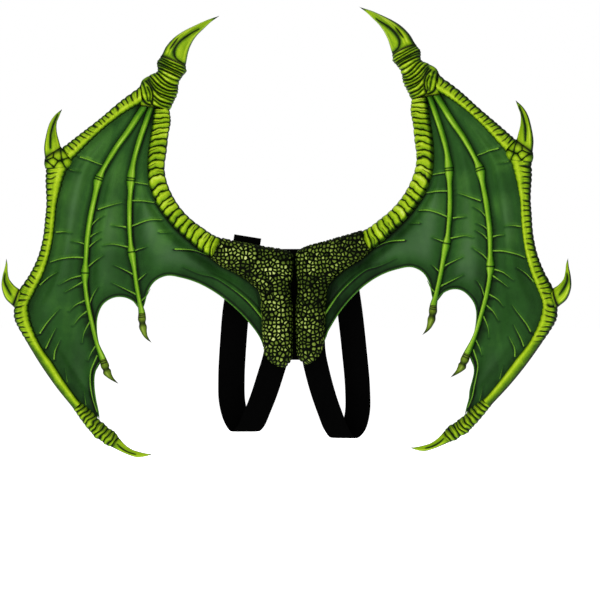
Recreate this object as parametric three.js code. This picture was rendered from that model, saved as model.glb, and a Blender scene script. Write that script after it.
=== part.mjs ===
import * as THREE from 'three';

// A pair of costume dragon wings: two moulded foam wings on a cloth panel with two elastic shoulder straps.
// Millimetres, +Z up. The painted faces look towards -Y and the wearer is on the +Y side.
// The origin is on the back of the cloth panel, midway between the wings.
// A wing is laid out in its own plane: x runs outward from the middle of the panel, z runs up,
// and everything raised on it rises towards -Y. The left wing is built like the right one and mirrored.

const WING = { reach: 446, height: 665 };
const HINGE = { halfWidth: 5 };
const PANEL = { wall: 2, halfWidth: 50 };
const SHEET = { wall: 3, billow: 9, steepness: 0.17, vein: 1.8, lap: 7, edgeMargin: 6, shoulder: 16 };
const RELIEF = { rim: 1.2, clearance: 0.3 };
// A dent also narrows a piece, by a share of its depth on each side.
const DENT = { narrowing: 33, mostNarrowing: 30 };
const ARM = { rise: 17, rings: 27, ringDepth: 1.8 };
const CUFF = { rise: 22, folds: 6, foldDepth: 2.6 };
const WRIST_CLAW = { rise: 20 };
const FINGER = { rise: 15 };
const KNUCKLE = { rise: 16 };
const SPUR = { rise: 10 };
const TIP = { rise: 12, knuckles: 4, knuckleDepth: 1.4, clawRise: 8 };
const DIGIT = { width: 11, rise: 8, margin: 4 };
const DIGIT_CLAW = { rise: 8 };
const PAD = { rise: 25 };
const STRAP = { width: 41, wall: 1.6, bulge: 70 };

// How each wing sits: swept forward about its hinge line, lifted, set apart, bowed inward at its lower end,
// arched up in the middle of its reach, drawn inward beyond its pad, and its claw hooked inward.
// Its strap's loop hangs lower by drop, further in by inward, and its tucked end lies lower by end.
const SIDES = [
  {
    name: 'left', mirror: -1, sweep: 14, lift: 0, apart: 0, bow: 0, arch: 0, draw: 0, hook: -3.3,
    strap: { drop: 0, inward: 0, end: 0 },
  },
  {
    name: 'right', mirror: 1, sweep: 14, lift: 7.5, apart: 1.5, bow: 30, arch: 5, draw: 2.4, hook: 3.3,
    strap: { drop: 24, inward: 20, end: 14 },
  },
];
const BOW = { level: 35, spread: 69, fullAt: 40 };
const ARCH = { middle: 45, spread: 32 };
const HOOK = { from: 45, to: 62 };

// Places in the tables below are in hundredths of the wing's reach (outward) and height (up).
// A raised piece is given by rows across it: [out, up] of its two long edges, and its rise in hundredths.

const UPPER_FINGER = [
  [53.6, 49.3, 53.0, 45.5, 95],
  [59.7, 46.3, 57.7, 43.7, 90],
  [66.5, 42.4, 63.8, 40.7, 80],
  [72.6, 39.2, 69.2, 37.4, 80],
  [79.3, 35.7, 75.7, 32.9, 90],
];
const UPPER_KNUCKLE = [
  [85.1, 33.0, 79.6, 35.5, 80],
  [85.1, 31.9, 76.3, 32.6, 100],
  [84.8, 31.0, 77.4, 30.9, 90],
];
const MIDDLE_FINGER_STRETCH = [
  [84.8, 30.9, 77.5, 30.8, 95],
  [85.0, 28.2, 78.9, 28.0, 90],
  [84.7, 23.0, 81.0, 22.5, 85],
  [85.2, 19.2, 81.6, 18.5, 85],
  [85.9, 15.1, 82.5, 14.0, 85],
  [87.6, 10.8, 84.0, 9.7, 85],
  [90.3, 7.0, 86.4, 5.4, 90],
  [93.5, 3.8, 88.6, 2.5, 100],
];
// The lower stretch, its small knuckles and the claw at the tip follow one line of rows.
const LOWER_FINGER = [
  [93.5, 3.8, 88.6, 2.5, 100],
  [95.3, 0.0, 90.4, -0.1, 110],
  [95.6, -2.9, 90.0, -2.9, 105],
  [94.0, -5.4, 88.8, -5.6, 90],
  [90.8, -9.0, 86.2, -9.5, 85],
  [86.6, -13.6, 82.5, -13.0, 80],
  [81.1, -18.9, 78.1, -17.6, 75],
  [75.5, -23.6, 73.1, -22.1, 75],
  [72.8, -26.2, 69.9, -23.9, 95],
  [69.6, -28.9, 66.8, -26.2, 100],
  [67.9, -30.0, 65.1, -27.4, 90],
  [65.5, -31.1, 62.8, -28.5, 85],
  [62.9, -32.2, 60.4, -30.0, 90],
  [59.7, -33.3, 58.0, -31.8, 80],
  [56.6, -34.2, 55.6, -32.9, 60],
  [53.9, -34.7, 53.4, -33.4, 50],
  [51.2, -34.5, 51.0, -33.8, 35],
  [48.6, -34.0, 48.6, -34.0, 0],
];
const TIP_KNUCKLES_FROM = 7;
const SHEET_TIP_AT = 9;
const TIP_CLAW_FROM = 12;
const UPPER_SPUR = [
  [85.1, 33.1, 79.7, 35.6, 100],
  [85.4, 35.6, 80.2, 36.8, 110],
  [84.7, 38.6, 81.1, 39.2, 95],
  [83.5, 41.3, 81.1, 41.3, 75],
  [81.8, 43.0, 80.3, 42.7, 50],
  [79.3, 44.4, 79.3, 44.4, 0],
];
const LOWER_SPUR = [
  [95.9, -0.3, 93.8, 3.6, 100],
  [98.5, 1.5, 95.4, 4.4, 110],
  [99.7, 4.1, 97.1, 5.9, 95],
  [99.4, 6.5, 97.6, 7.6, 75],
  [98.5, 8.8, 97.7, 9.1, 45],
  [98.1, 10.5, 98.1, 10.5, 0],
];
const WRIST = [
  [52.7, 45.3, 43.0, 44.3, 80],
  [53.4, 48.9, 41.3, 46.4, 100],
  [51.9, 51.0, 40.0, 48.5, 100],
  [49.1, 52.3, 39.6, 50.6, 95],
  [46.8, 53.2, 38.3, 51.9, 95],
  [46.8, 55.2, 36.9, 53.2, 90],
  [45.4, 56.5, 37.1, 54.1, 90],
  [44.7, 57.3, 36.7, 55.5, 95],
  [43.4, 58.9, 35.9, 57.7, 95],
  [40.8, 60.8, 34.5, 59.8, 90],
  [37.6, 62.3, 32.8, 61.4, 75],
  [33.8, 63.6, 30.4, 63.0, 55],
  [29.9, 64.8, 28.2, 64.4, 35],
  [25.2, 65.9, 25.2, 65.9, 0],
];
const WRIST_CLAW_FROM = 6;
const ARM_AND_PAD = [
  [43.0, 44.2, 48.1, 44.7, 80],
  [42.6, 41.7, 48.8, 41.3, 85],
  [43.4, 38.6, 49.7, 37.7, 90],
  [44.0, 34.9, 50.3, 34.5, 95],
  [44.7, 31.3, 50.5, 30.9, 95],
  [44.2, 28.6, 50.0, 27.5, 90],
  [42.5, 25.5, 48.1, 23.9, 90],
  [39.6, 22.3, 45.1, 20.7, 90],
  [35.9, 19.6, 41.0, 17.4, 95],
  [31.5, 17.4, 36.6, 14.7, 100],
  [28.1, 15.9, 32.5, 12.4, 100],
  [25.2, 15.1, 28.7, 10.7, 80],
  [21.3, 14.5, 25.3, 9.0, 85],
  [15.8, 13.8, 19.6, 7.0, 95],
  [10.0, 13.1, 15.5, 5.2, 100],
  [4.6, 12.5, 12.9, 3.6, 95],
  [1.4, 11.5, 11.9, 2.0, 90],
  [1.3, 7.9, 11.7, 0.5, 95],
  [2.0, 3.4, 11.6, -1.6, 100],
  [1.3, -0.7, 11.4, -4.1, 100],
  [1.3, -5.0, 11.2, -7.0, 95],
  [1.3, -9.2, 10.9, -9.7, 85],
  [1.5, -12.0, 9.7, -12.1, 70],
  [2.9, -13.8, 7.3, -13.5, 45],
];
const PAD_FROM = 11;

// Rows along a finger bone: [out, up, width, rise], the last two in hundredths. The claw is the last rows.
const MIDDLE_DIGIT = [
  [52.4, 44.3, 95, 90],
  [57.0, 39.5, 90, 90],
  [61.4, 35.4, 80, 85],
  [65.8, 30.4, 75, 80],
  [67.1, 28.5, 130, 115],
  [67.9, 25.9, 80, 85],
  [69.7, 20.3, 80, 80],
  [70.9, 14.7, 75, 75],
  [71.4, 9.7, 70, 75],
  [71.6, 7.2, 115, 105],
  [71.6, 5.0, 68, 75],
  [70.9, 1.1, 65, 70],
  [69.4, -3.8, 62, 70],
  [67.7, -8.6, 60, 70],
  [65.6, -12.3, 95, 90],
  [64.7, -14.2, 120, 100],
  [63.9, -15.6, 95, 85],
  [62.6, -16.7, 60, 60],
  [60.2, -18.0, 0, 0],
];
const MIDDLE_CLAW_FROM = 14;
const INNER_DIGIT = [
  [49.7, 44.1, 80, 85],
  [53.6, 36.5, 80, 85],
  [55.3, 32.2, 75, 80],
  [56.1, 28.4, 125, 115],
  [56.3, 25.9, 75, 80],
  [56.6, 22.5, 70, 75],
  [56.6, 18.0, 68, 75],
  [56.2, 13.8, 68, 75],
  [55.9, 12.0, 110, 105],
  [54.9, 7.9, 66, 75],
  [54.1, 4.1, 64, 70],
  [53.1, 0.5, 64, 70],
  [52.4, -1.8, 95, 90],
  [52.3, -3.6, 115, 100],
  [51.8, -5.7, 85, 80],
  [50.9, -7.3, 55, 55],
  [49.0, -8.7, 0, 0],
];
const INNER_CLAW_FROM = 12;

// Where the four lines that the membrane hangs between start, under the wrist: [out, up].
const SHEET_ROOTS = { outer: [50.9, 46.9], middle: [49.7, 46.4], inner: [48.5, 46.3], arm: [47.4, 46.2] };
const SHEET_CORNER = [10.1, -11.0];
const SCALLOPS = [
  [[66.8, -26.2], [67.2, -24.1], [68.0, -21.6], [68.6, -18.5], [68.4, -15.8], [67.2, -13.6], [65.6, -12.3]],
  [[65.6, -12.3], [66.8, -9.5], [67.7, -6.1], [67.5, -2.7], [65.6, 0.2], [62.1, 1.7], [58.3, 1.8],
    [55.3, 0.9], [53.4, -0.5], [52.4, -1.8]],
  [[52.4, -1.8], [51.4, 0.7], [50.3, 3.2], [48.1, 5.4], [44.0, 6.7], [38.6, 6.2], [33.2, 5.0], [27.7, 3.0],
    [22.3, 0.3], [16.8, -3.2], [12.1, -7.4], SHEET_CORNER],
];
// How far down each line the membrane comes out from under the wrist, flat until then, in hundredths.
const SHEET_START = { outer: 4, middle: 6, inner: 7, arm: 5 };
// Each raised rib crosses the whole membrane: how far down each of the four lines it lies, in hundredths.
const RIBS = [
  { outer: 12, middle: 12, inner: 12, arm: 10 },
  { outer: 24, middle: 28, inner: 26, arm: 20 },
  { outer: 33, middle: 41, inner: 40, arm: 31 },
  { outer: 42, middle: 52, inner: 52, arm: 42 },
  { outer: 51, middle: 62, inner: 64, arm: 53 },
  { outer: 60, middle: 72, inner: 75, arm: 64 },
  { outer: 71, middle: 82, inner: 86, arm: 76 },
  { outer: 84, middle: 91, inner: 94, arm: 88 },
];
// Columns of the membrane between its lines, from the outer finger to the arm.
const BILLOW_COLUMNS = [3, 6, 7];
const MOST_MARGIN = 40;
const LINE_SAMPLES = 240;

// The strap's middle line: [out, up], how far it is tucked under the pad's edge, how far it hangs back, and
// how much of the side's lower sewn end it takes, the last three in hundredths.
const STRAP_PATH = [
  [16.3, 15.6, 100, 0, 100],
  [16.7, 14.0, 100, 0, 60],
  [17.4, 10.9, 0, 0, 10],
  [18.0, 8.4, 0, 3, 0],
  [18.7, 4.5, 0, 14, 0],
  [19.8, -1.1, 0, 36, 0],
  [20.4, -9.0, 0, 70, 0],
  [20.7, -16.9, 0, 95, 0],
  [20.4, -22.6, 0, 100, 0],
  [18.8, -26.9, 0, 92, 0],
  [16.5, -29.2, 0, 70, 0],
  [14.6, -28.0, 0, 50, 0],
  [12.5, -24.6, 0, 38, 0],
  [10.3, -20.6, 0, 28, 0],
  [8.1, -15.6, 0, 14, 0],
  [6.5, -11.7, 0, 3, 0],
  [5.6, -8.6, 0, 0, 0],
];
const STRAP_STEPS = 38;

// The cloth panel's outline: height on the wing and half width, both in hundredths.
const PANEL_ROWS = [
  [12.75, 100],
  [8.5, 97],
  [5.0, 85],
  [3.0, 56],
  [-6.0, 50],
  [-12.6, 48],
];

const COLOURS = {
  lime: 0x9dbf2c,
  bone: 0x5f9428,
  membrane: 0x2c6a34,
  pad: 0x7d9a36,
  smallClaw: 0x5a6a24,
  cloth: 0x0c0c0e,
  elastic: 0x0b0b0d,
};
const PAINT_ROUGHNESS = 0.45;
const CLOTH_ROUGHNESS = 0.9;

const FRONT = -PANEL.wall;
const RELIEF_BASE = FRONT - RELIEF.clearance;
const HALF_GAP = RELIEF.clearance / 2;
const PROBE_STEP = 0.01;
const UNBENT = { bow: 0, arch: 0, draw: 0, hook: 0 };
const SHEET_BACK = FRONT + SHEET.wall;

function shares(value) {
  return value / 100;
}

// A place on the wing's plane, from its shares. A bowed wing leans inward towards its lower end.
function place(side, out, up, y = 0) {
  const lean = side.draw + side.bow * ((up - BOW.level) / BOW.spread) ** 2;
  const inward = lean * THREE.MathUtils.smoothstep(out, 0, BOW.fullAt)
    + side.hook * THREE.MathUtils.smoothstep(up, HOOK.from, HOOK.to);
  const raisedBy = side.arch * (1 - ((out - ARCH.middle) / ARCH.spread) ** 2);
  return new THREE.Vector3(shares(out) * WING.reach - inward, y, shares(up) * WING.height + raisedBy);
}

function curveThrough(points) {
  return new THREE.CatmullRomCurve3(points, false, 'centripetal');
}

function material(colour, roughness) {
  return new THREE.MeshStandardMaterial({ color: colour, roughness, metalness: 0 });
}

function signedVolume(positions, faces) {
  const [a, b, c] = [new THREE.Vector3(), new THREE.Vector3(), new THREE.Vector3()];
  let volume = 0;
  for (const [i, j, k] of faces) {
    a.copy(positions[i]);
    b.copy(positions[j]);
    c.copy(positions[k]);
    volume += a.dot(b.cross(c)) / 6;
  }
  return volume;
}

// One closed body from its corners and triangles, with its faces turned outward.
function closedGeometry(positions, faces) {
  const turned = signedVolume(positions, faces) < 0;
  const index = faces.flatMap(([i, j, k]) => (turned ? [i, k, j] : [i, j, k]));
  const geometry = new THREE.BufferGeometry();
  const numbers = positions.flatMap((position) => position.toArray());
  geometry.setAttribute('position', new THREE.Float32BufferAttribute(numbers, 3));
  geometry.setIndex(index);
  geometry.computeVertexNormals();
  return geometry;
}

function quad(a, b, c, d) {
  return [[a, b, c], [a, c, d]];
}

// Rings of corners joined along a piece, closed by a flat cap at each end or by one point at the tip.
function lofted(rings, tip = null) {
  const count = rings[0].length;
  const positions = rings.flat();
  const faces = [];
  for (let ring = 0; ring + 1 < rings.length; ring += 1) {
    for (let corner = 0; corner < count; corner += 1) {
      const next = (corner + 1) % count;
      const here = ring * count;
      faces.push(...quad(here + corner, here + next, here + count + next, here + count + corner));
    }
  }
  const last = (rings.length - 1) * count;
  for (let corner = 1; corner + 1 < count; corner += 1) {
    faces.push([0, corner + 1, corner]);
    if (!tip) faces.push([last, last + corner, last + corner + 1]);
  }
  if (tip) {
    positions.push(tip);
    for (let corner = 0; corner < count; corner += 1) {
      faces.push([last + corner, last + ((corner + 1) % count), positions.length - 1]);
    }
  }
  return closedGeometry(positions, faces);
}

// The two long edges of a raised piece, as curves whose y holds the rise at each row.
function edgesOf(side, rows, rise) {
  const first = rows.map(([out, up, , , high]) => place(side, out, up, shares(high) * rise));
  const second = rows.map(([, , out, up, high]) => place(side, out, up, shares(high) * rise));
  return { first: curveThrough(first), second: curveThrough(second), intervals: rows.length - 1 };
}

// The same from the middle line of a finger bone and its width at each row.
function edgesOfDigit(side, rows, rise) {
  const line = curveThrough(rows.map(([out, up]) => place(side, out, up)));
  const across = rows.map((row, i) => {
    const along = line.getTangent(i / (rows.length - 1));
    return new THREE.Vector3(-along.z, 0, along.x).multiplyScalar(shares(row[2]) * DIGIT.width / 2);
  });
  const lift = rows.map(([, , , high]) => new THREE.Vector3(0, shares(high) * rise, 0));
  const middles = rows.map(([out, up]) => place(side, out, up));
  const first = middles.map((point, i) => point.clone().add(across[i]).add(lift[i]));
  const second = middles.map((point, i) => point.clone().sub(across[i]).add(lift[i]));
  return { first: curveThrough(first), second: curveThrough(second), intervals: rows.length - 1 };
}

// One ring of corners across a raised piece: a flat back and an arched front.
function archRing(edges, t, facets, fullness, dent) {
  const a = edges.first.getPoint(t);
  const b = edges.second.getPoint(t);
  const rise = Math.max(a.y - dent, RELIEF.rim);
  const narrowing = shares(DENT.narrowing) * dent / Math.max(a.distanceTo(b), 1);
  const inset = Math.min(shares(DENT.mostNarrowing), narrowing);
  const ring = [];
  const corner = (across, high) => {
    const share = inset + (1 - 2 * inset) * across;
    const point = new THREE.Vector3().lerpVectors(a, b, share);
    point.y = RELIEF_BASE - high;
    ring.push(point);
  };
  corner(0, 0);
  for (let i = 0; i <= facets; i += 1) {
    const angle = Math.PI * i / facets;
    const arch = Math.max(Math.sin(angle), 0) ** fullness;
    corner((1 - Math.cos(angle)) / 2, RELIEF.rim + (rise - RELIEF.rim) * arch);
  }
  corner(1, 0);
  return ring;
}

// A raised piece over the rows from one to another, its ends pulled back by half the gap between pieces.
// Folds are dents at even steps along it, and the piece ends in a dent when it has any.
function raised(edges, { from = 0, to = edges.intervals, facets = 5, fullness = 0.85, steps = 3,
  folds = 0, dent = 0, pointed = false }) {
  const middle = (t) => edges.first.getPoint(t).add(edges.second.getPoint(t)).multiplyScalar(0.5).setY(0);
  const pullBack = (t, towards) => {
    const probe = (towards - t) * PROBE_STEP;
    return t + probe * HALF_GAP / middle(t).distanceTo(middle(t + probe));
  };
  const [lowest, highest] = [from / edges.intervals, to / edges.intervals];
  const start = pullBack(lowest, highest);
  const end = pointed ? highest : pullBack(highest, lowest);
  const count = folds ? folds * 2 : (to - from) * steps;
  const rings = [];
  for (let i = 0; i <= count; i += 1) {
    const t = start + (end - start) * i / count;
    const dented = folds && i % 2 === 0 ? dent : 0;
    if (!(pointed && i === count)) rings.push(archRing(edges, t, facets, fullness, dented));
  }
  const tip = pointed ? edges.first.getPoint(end).setY(RELIEF_BASE - RELIEF.rim / 2) : null;
  return lofted(rings, tip);
}

function points(side, rows, outColumn, upColumn) {
  return rows.map((row) => place(side, row[outColumn], row[upColumn]));
}

// The four lines that the membrane hangs between, from under the wrist to the trailing edge.
function sheetLines(side) {
  const root = (name) => place(side, ...SHEET_ROOTS[name]);
  const outer = [
    root('outer'),
    ...points(side, UPPER_FINGER.slice(0, -1), 2, 3),
    ...points(side, UPPER_KNUCKLE.slice(1, -1), 2, 3),
    ...points(side, MIDDLE_FINGER_STRETCH.slice(0, -1), 2, 3),
    ...points(side, LOWER_FINGER.slice(0, SHEET_TIP_AT + 1), 2, 3),
  ];
  const digit = (name, rows, last) => [root(name), ...points(side, rows.slice(0, last + 1), 0, 1)];
  const corner = place(side, ...SHEET_CORNER);
  return {
    outer: curveThrough(outer),
    middle: curveThrough(digit('middle', MIDDLE_DIGIT, MIDDLE_CLAW_FROM)),
    inner: curveThrough(digit('inner', INNER_DIGIT, INNER_CLAW_FROM)),
    arm: curveThrough([root('arm'), ...points(side, ARM_AND_PAD.slice(0, -2), 2, 3), corner]),
  };
}

// A point of the membrane between two lines, drawn towards the scallop as it nears the trailing edge.
function sheetPoint(left, right, scallop, depths, share) {
  const straight = left.getPointAt(depths[0]).lerp(right.getPointAt(depths[1]), share);
  const chord = left.getPointAt(1).lerp(right.getPointAt(1), share);
  const pull = THREE.MathUtils.lerp(depths[0], depths[1], share) ** 2;
  return straight.add(scallop.getPointAt(share).sub(chord).multiplyScalar(pull));
}

// The share of a row that a margin beside one of the lines takes up, however slantwise the row leaves it.
function marginShare(line, depth, chord, margin) {
  const slant = new THREE.Vector3().crossVectors(line.getTangentAt(depth), chord).length();
  return Math.min(margin / Math.max(slant, margin), shares(MOST_MARGIN));
}

function nearest(samples, point) {
  return samples.reduce((least, sample) => Math.min(least, sample.distanceTo(point)), Infinity);
}

// The membrane's front as rows of points: ribs and the troughs between them, each from edge to edge.
function sheetRows(side) {
  const lines = sheetLines(side);
  const order = ['outer', 'middle', 'inner', 'arm'];
  const samples = order.map((name) => lines[name].getSpacedPoints(LINE_SAMPLES));
  const scallops = SCALLOPS.map((row) => curveThrough(row.map(([out, up]) => place(side, out, up))));
  const levels = [];
  const depthsOf = (rib) => order.map((name) => shares(rib[name]));
  levels.push({ depths: [0, 0, 0, 0], billow: 0, crest: 0 });
  levels.push({ depths: depthsOf(SHEET_START), billow: 0, crest: 0 });
  RIBS.forEach((rib, i) => {
    const depths = depthsOf(rib);
    if (i > 0) {
      const before = depthsOf(RIBS[i - 1]);
      const between = depths.map((depth, k) => (depth + before[k]) / 2);
      levels.push({ depths: between, billow: SHEET.billow, crest: 0 });
    }
    levels.push({ depths, billow: SHEET.billow, crest: SHEET.vein });
  });
  levels.push({ depths: [1, 1, 1, 1], billow: SHEET.billow, crest: 0 });
  const digitMargin = DIGIT.width / 2 + DIGIT.margin;
  const beside = { edge: SHEET.edgeMargin, digit: digitMargin };
  const margins = [[beside.edge, beside.digit], [beside.digit, beside.digit], [beside.digit, beside.edge]];
  return levels.map(({ depths, billow, crest }) => {
    const row = [lapPoint(lines.outer, depths[0], -1)];
    margins.forEach(([before, after], panel) => {
      const [left, right] = [lines[order[panel]], lines[order[panel + 1]]];
      const pair = [depths[panel], depths[panel + 1]];
      const chord = right.getPointAt(pair[1]).sub(left.getPointAt(pair[0]));
      const start = marginShare(left, pair[0], chord, before);
      const end = 1 - marginShare(right, pair[1], chord, after);
      const free = Math.max(0, chord.length() * (end - start));
      const columns = BILLOW_COLUMNS[panel];
      for (let k = 0; k <= columns; k += 1) {
        const share = start + (end - start) * k / columns;
        const swell = (1 - Math.cos(2 * Math.PI * k / columns)) / 2;
        const point = sheetPoint(left, right, scallops[panel], pair, share);
        const clearOf = (samplesOf, margin) => THREE.MathUtils.smoothstep(
          nearest(samplesOf, point), margin, margin + SHEET.shoulder,
        );
        const open = clearOf(samples[panel], before) * clearOf(samples[panel + 1], after);
        const billowed = Math.min(billow, SHEET.steepness * free) * swell;
        point.y = FRONT - (billowed + crest * Math.sqrt(swell)) * open;
        row.push(point);
      }
      if (panel < 2) row.push(right.getPointAt(pair[1]).setY(FRONT));
    });
    row.push(lapPoint(lines.arm, depths[3], 1));
    return row;
  });
}

// A point of the membrane's hidden edge, which reaches a little way under the raised piece beside it.
function lapPoint(line, depth, turn) {
  const along = line.getTangentAt(depth);
  const outward = new THREE.Vector3(along.z, 0, -along.x).normalize().multiplyScalar(SHEET.lap * turn);
  return line.getPointAt(depth).add(outward).setY(FRONT);
}

// A closed sheet from the rows of its front: the back is the same rows moved by the wall's thickness.
function sheetGeometry(front, back) {
  const [rowCount, columnCount] = [front.length, front[0].length];
  const positions = [...front.flat(), ...back.flat()];
  const behind = rowCount * columnCount;
  const faces = [];
  for (let r = 0; r + 1 < rowCount; r += 1) {
    for (let c = 0; c + 1 < columnCount; c += 1) {
      const here = r * columnCount + c;
      const below = here + columnCount;
      faces.push(...quad(here, here + 1, below + 1, below));
      faces.push(...quad(behind + here, behind + below, behind + below + 1, behind + here + 1));
    }
  }
  const rim = [];
  for (let c = 0; c < columnCount; c += 1) rim.push(c);
  for (let r = 1; r < rowCount; r += 1) rim.push(r * columnCount + columnCount - 1);
  for (let c = columnCount - 2; c >= 0; c -= 1) rim.push((rowCount - 1) * columnCount + c);
  for (let r = rowCount - 2; r > 0; r -= 1) rim.push(r * columnCount);
  rim.forEach((corner, i) => {
    const next = rim[(i + 1) % rim.length];
    faces.push(...quad(corner, behind + corner, behind + next, next));
  });
  return closedGeometry(positions, faces);
}

function membraneGeometry(side) {
  const front = sheetRows(side);
  const back = front.map((row) => row.map((point) => point.clone().setY(point.y + SHEET.wall)));
  return sheetGeometry(front, back);
}

// The strap, a flat ribbon level across all along, hangs back in a loop and turns up again below the pad.
function strapGeometry(side) {
  const padSeat = FRONT + STRAP.wall / 2;
  const sheetSeat = SHEET_BACK + RELIEF.clearance + STRAP.wall / 2;
  const line = curveThrough(STRAP_PATH.map(([out, up, tuck, back, end]) => {
    const seat = THREE.MathUtils.lerp(sheetSeat, padSeat, shares(tuck));
    const point = place(UNBENT, out, up, seat + shares(back) * STRAP.bulge);
    point.x -= Math.sqrt(shares(back)) * side.strap.inward;
    point.z -= shares(back) * side.strap.drop + shares(end) * side.strap.end;
    return point;
  }));
  const rings = [];
  for (let i = 0; i <= STRAP_STEPS; i += 1) {
    const point = line.getPointAt(i / STRAP_STEPS);
    const along = line.getTangentAt(i / STRAP_STEPS);
    const across = new THREE.Vector3(1, 0, 0);
    const through = new THREE.Vector3().crossVectors(along, across).normalize();
    const corner = (w, t) => point.clone()
      .addScaledVector(across, w * STRAP.width / 2)
      .addScaledVector(through, t * STRAP.wall / 2);
    rings.push([corner(-1, -1), corner(1, -1), corner(1, 1), corner(-1, 1)]);
  }
  return lofted(rings);
}

function wingFrame(side) {
  const mirrored = new THREE.Group();
  mirrored.scale.x = side.mirror;
  const hinge = new THREE.Group();
  hinge.position.set(HINGE.halfWidth, 0, side.lift);
  hinge.rotation.z = -THREE.MathUtils.degToRad(side.sweep);
  const plane = new THREE.Group();
  plane.position.x = side.apart - HINGE.halfWidth;
  hinge.add(plane);
  mirrored.add(hinge);
  return { mirrored, hinge, plane };
}

// The cloth panel: a flat strip down the middle and a flap in the plane of each wing.
function panelGeometry(frames) {
  const layer = (y) => PANEL_ROWS.map(([up, half]) => {
    const z = shares(up) * WING.height;
    const reach = shares(half) * PANEL.halfWidth - HINGE.halfWidth;
    const flap = frames.map(({ mirrored, hinge }) => {
      const point = new THREE.Vector3(reach, y, 0).applyEuler(hinge.rotation);
      return new THREE.Vector3((point.x + HINGE.halfWidth) * mirrored.scale.x, point.y, z);
    });
    const middle = frames.map(({ mirrored }) => new THREE.Vector3(HINGE.halfWidth * mirrored.scale.x, y, z));
    return [flap[0], middle[0], middle[1], flap[1]];
  });
  return sheetGeometry(layer(FRONT), layer(0));
}

function wingPieces(side) {
  const upperFinger = edgesOf(side, UPPER_FINGER, FINGER.rise);
  const knuckle = edgesOf(side, UPPER_KNUCKLE, KNUCKLE.rise);
  const stretch = edgesOf(side, MIDDLE_FINGER_STRETCH, FINGER.rise);
  const lower = edgesOf(side, LOWER_FINGER, FINGER.rise);
  const tipKnuckles = edgesOf(side, LOWER_FINGER, TIP.rise);
  const tipClaw = edgesOf(side, LOWER_FINGER, TIP.clawRise);
  const upperSpur = edgesOf(side, UPPER_SPUR, SPUR.rise);
  const lowerSpur = edgesOf(side, LOWER_SPUR, SPUR.rise);
  const cuff = edgesOf(side, WRIST, CUFF.rise);
  const wristClaw = edgesOf(side, WRIST, WRIST_CLAW.rise);
  const arm = edgesOf(side, ARM_AND_PAD, ARM.rise);
  const pad = edgesOf(side, ARM_AND_PAD, PAD.rise);
  const middle = edgesOfDigit(side, MIDDLE_DIGIT, DIGIT.rise);
  const middleClaw = edgesOfDigit(side, MIDDLE_DIGIT, DIGIT_CLAW.rise);
  const inner = edgesOfDigit(side, INNER_DIGIT, DIGIT.rise);
  const innerClaw = edgesOfDigit(side, INNER_DIGIT, DIGIT_CLAW.rise);
  return [
    ['membrane', 'membrane', membraneGeometry(side)],
    ['arm', 'lime', raised(arm, { to: PAD_FROM, folds: ARM.rings, dent: ARM.ringDepth, facets: 4 })],
    ['wrist_cuff', 'lime', raised(cuff, { to: WRIST_CLAW_FROM, folds: CUFF.folds, dent: CUFF.foldDepth })],
    ['wrist_claw', 'lime', raised(wristClaw, { from: WRIST_CLAW_FROM, steps: 2, pointed: true })],
    ['outer_finger_upper', 'lime', raised(upperFinger, { steps: 2 })],
    ['upper_knuckle', 'lime', raised(knuckle, {})],
    ['upper_spur', 'lime', raised(upperSpur, { steps: 2, pointed: true })],
    ['outer_finger_middle', 'lime', raised(stretch, { steps: 2 })],
    ['lower_spur', 'lime', raised(lowerSpur, { steps: 2, pointed: true })],
    ['outer_finger_lower', 'lime', raised(lower, { to: TIP_KNUCKLES_FROM, steps: 2 })],
    ['tip_knuckles', 'lime', raised(tipKnuckles, {
      from: TIP_KNUCKLES_FROM, to: TIP_CLAW_FROM, folds: TIP.knuckles, dent: TIP.knuckleDepth,
    })],
    ['tip_claw', 'lime', raised(tipClaw, { from: TIP_CLAW_FROM, steps: 2, pointed: true })],
    ['middle_finger', 'bone', raised(middle, { to: MIDDLE_CLAW_FROM, steps: 2, facets: 3 })],
    ['middle_claw', 'smallClaw', raised(middleClaw, {
      from: MIDDLE_CLAW_FROM, steps: 2, facets: 4, pointed: true,
    })],
    ['inner_finger', 'bone', raised(inner, { to: INNER_CLAW_FROM, steps: 2, facets: 3 })],
    ['inner_claw', 'smallClaw', raised(innerClaw, {
      from: INNER_CLAW_FROM, steps: 2, facets: 4, pointed: true,
    })],
    ['root_pad', 'pad', raised(pad, { from: PAD_FROM, steps: 2, facets: 7, fullness: 0.55 })],
  ];
}

function named(name, geometry, colour, roughness) {
  const mesh = new THREE.Mesh(geometry, material(colour, roughness));
  mesh.name = name;
  return mesh;
}

const wings = new THREE.Group();
const frames = SIDES.map(wingFrame);
SIDES.forEach((side, i) => {
  const { mirrored, plane } = frames[i];
  for (const [piece, colour, geometry] of wingPieces(side)) {
    plane.add(named(`${piece}_${side.name}`, geometry, COLOURS[colour], PAINT_ROUGHNESS));
  }
  plane.add(named(`strap_${side.name}`, strapGeometry(side), COLOURS.elastic, CLOTH_ROUGHNESS));
  wings.add(mirrored);
});
wings.add(named('centre_panel', panelGeometry(frames), COLOURS.cloth, CLOTH_ROUGHNESS));

export default wings;
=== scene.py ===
import math

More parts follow.
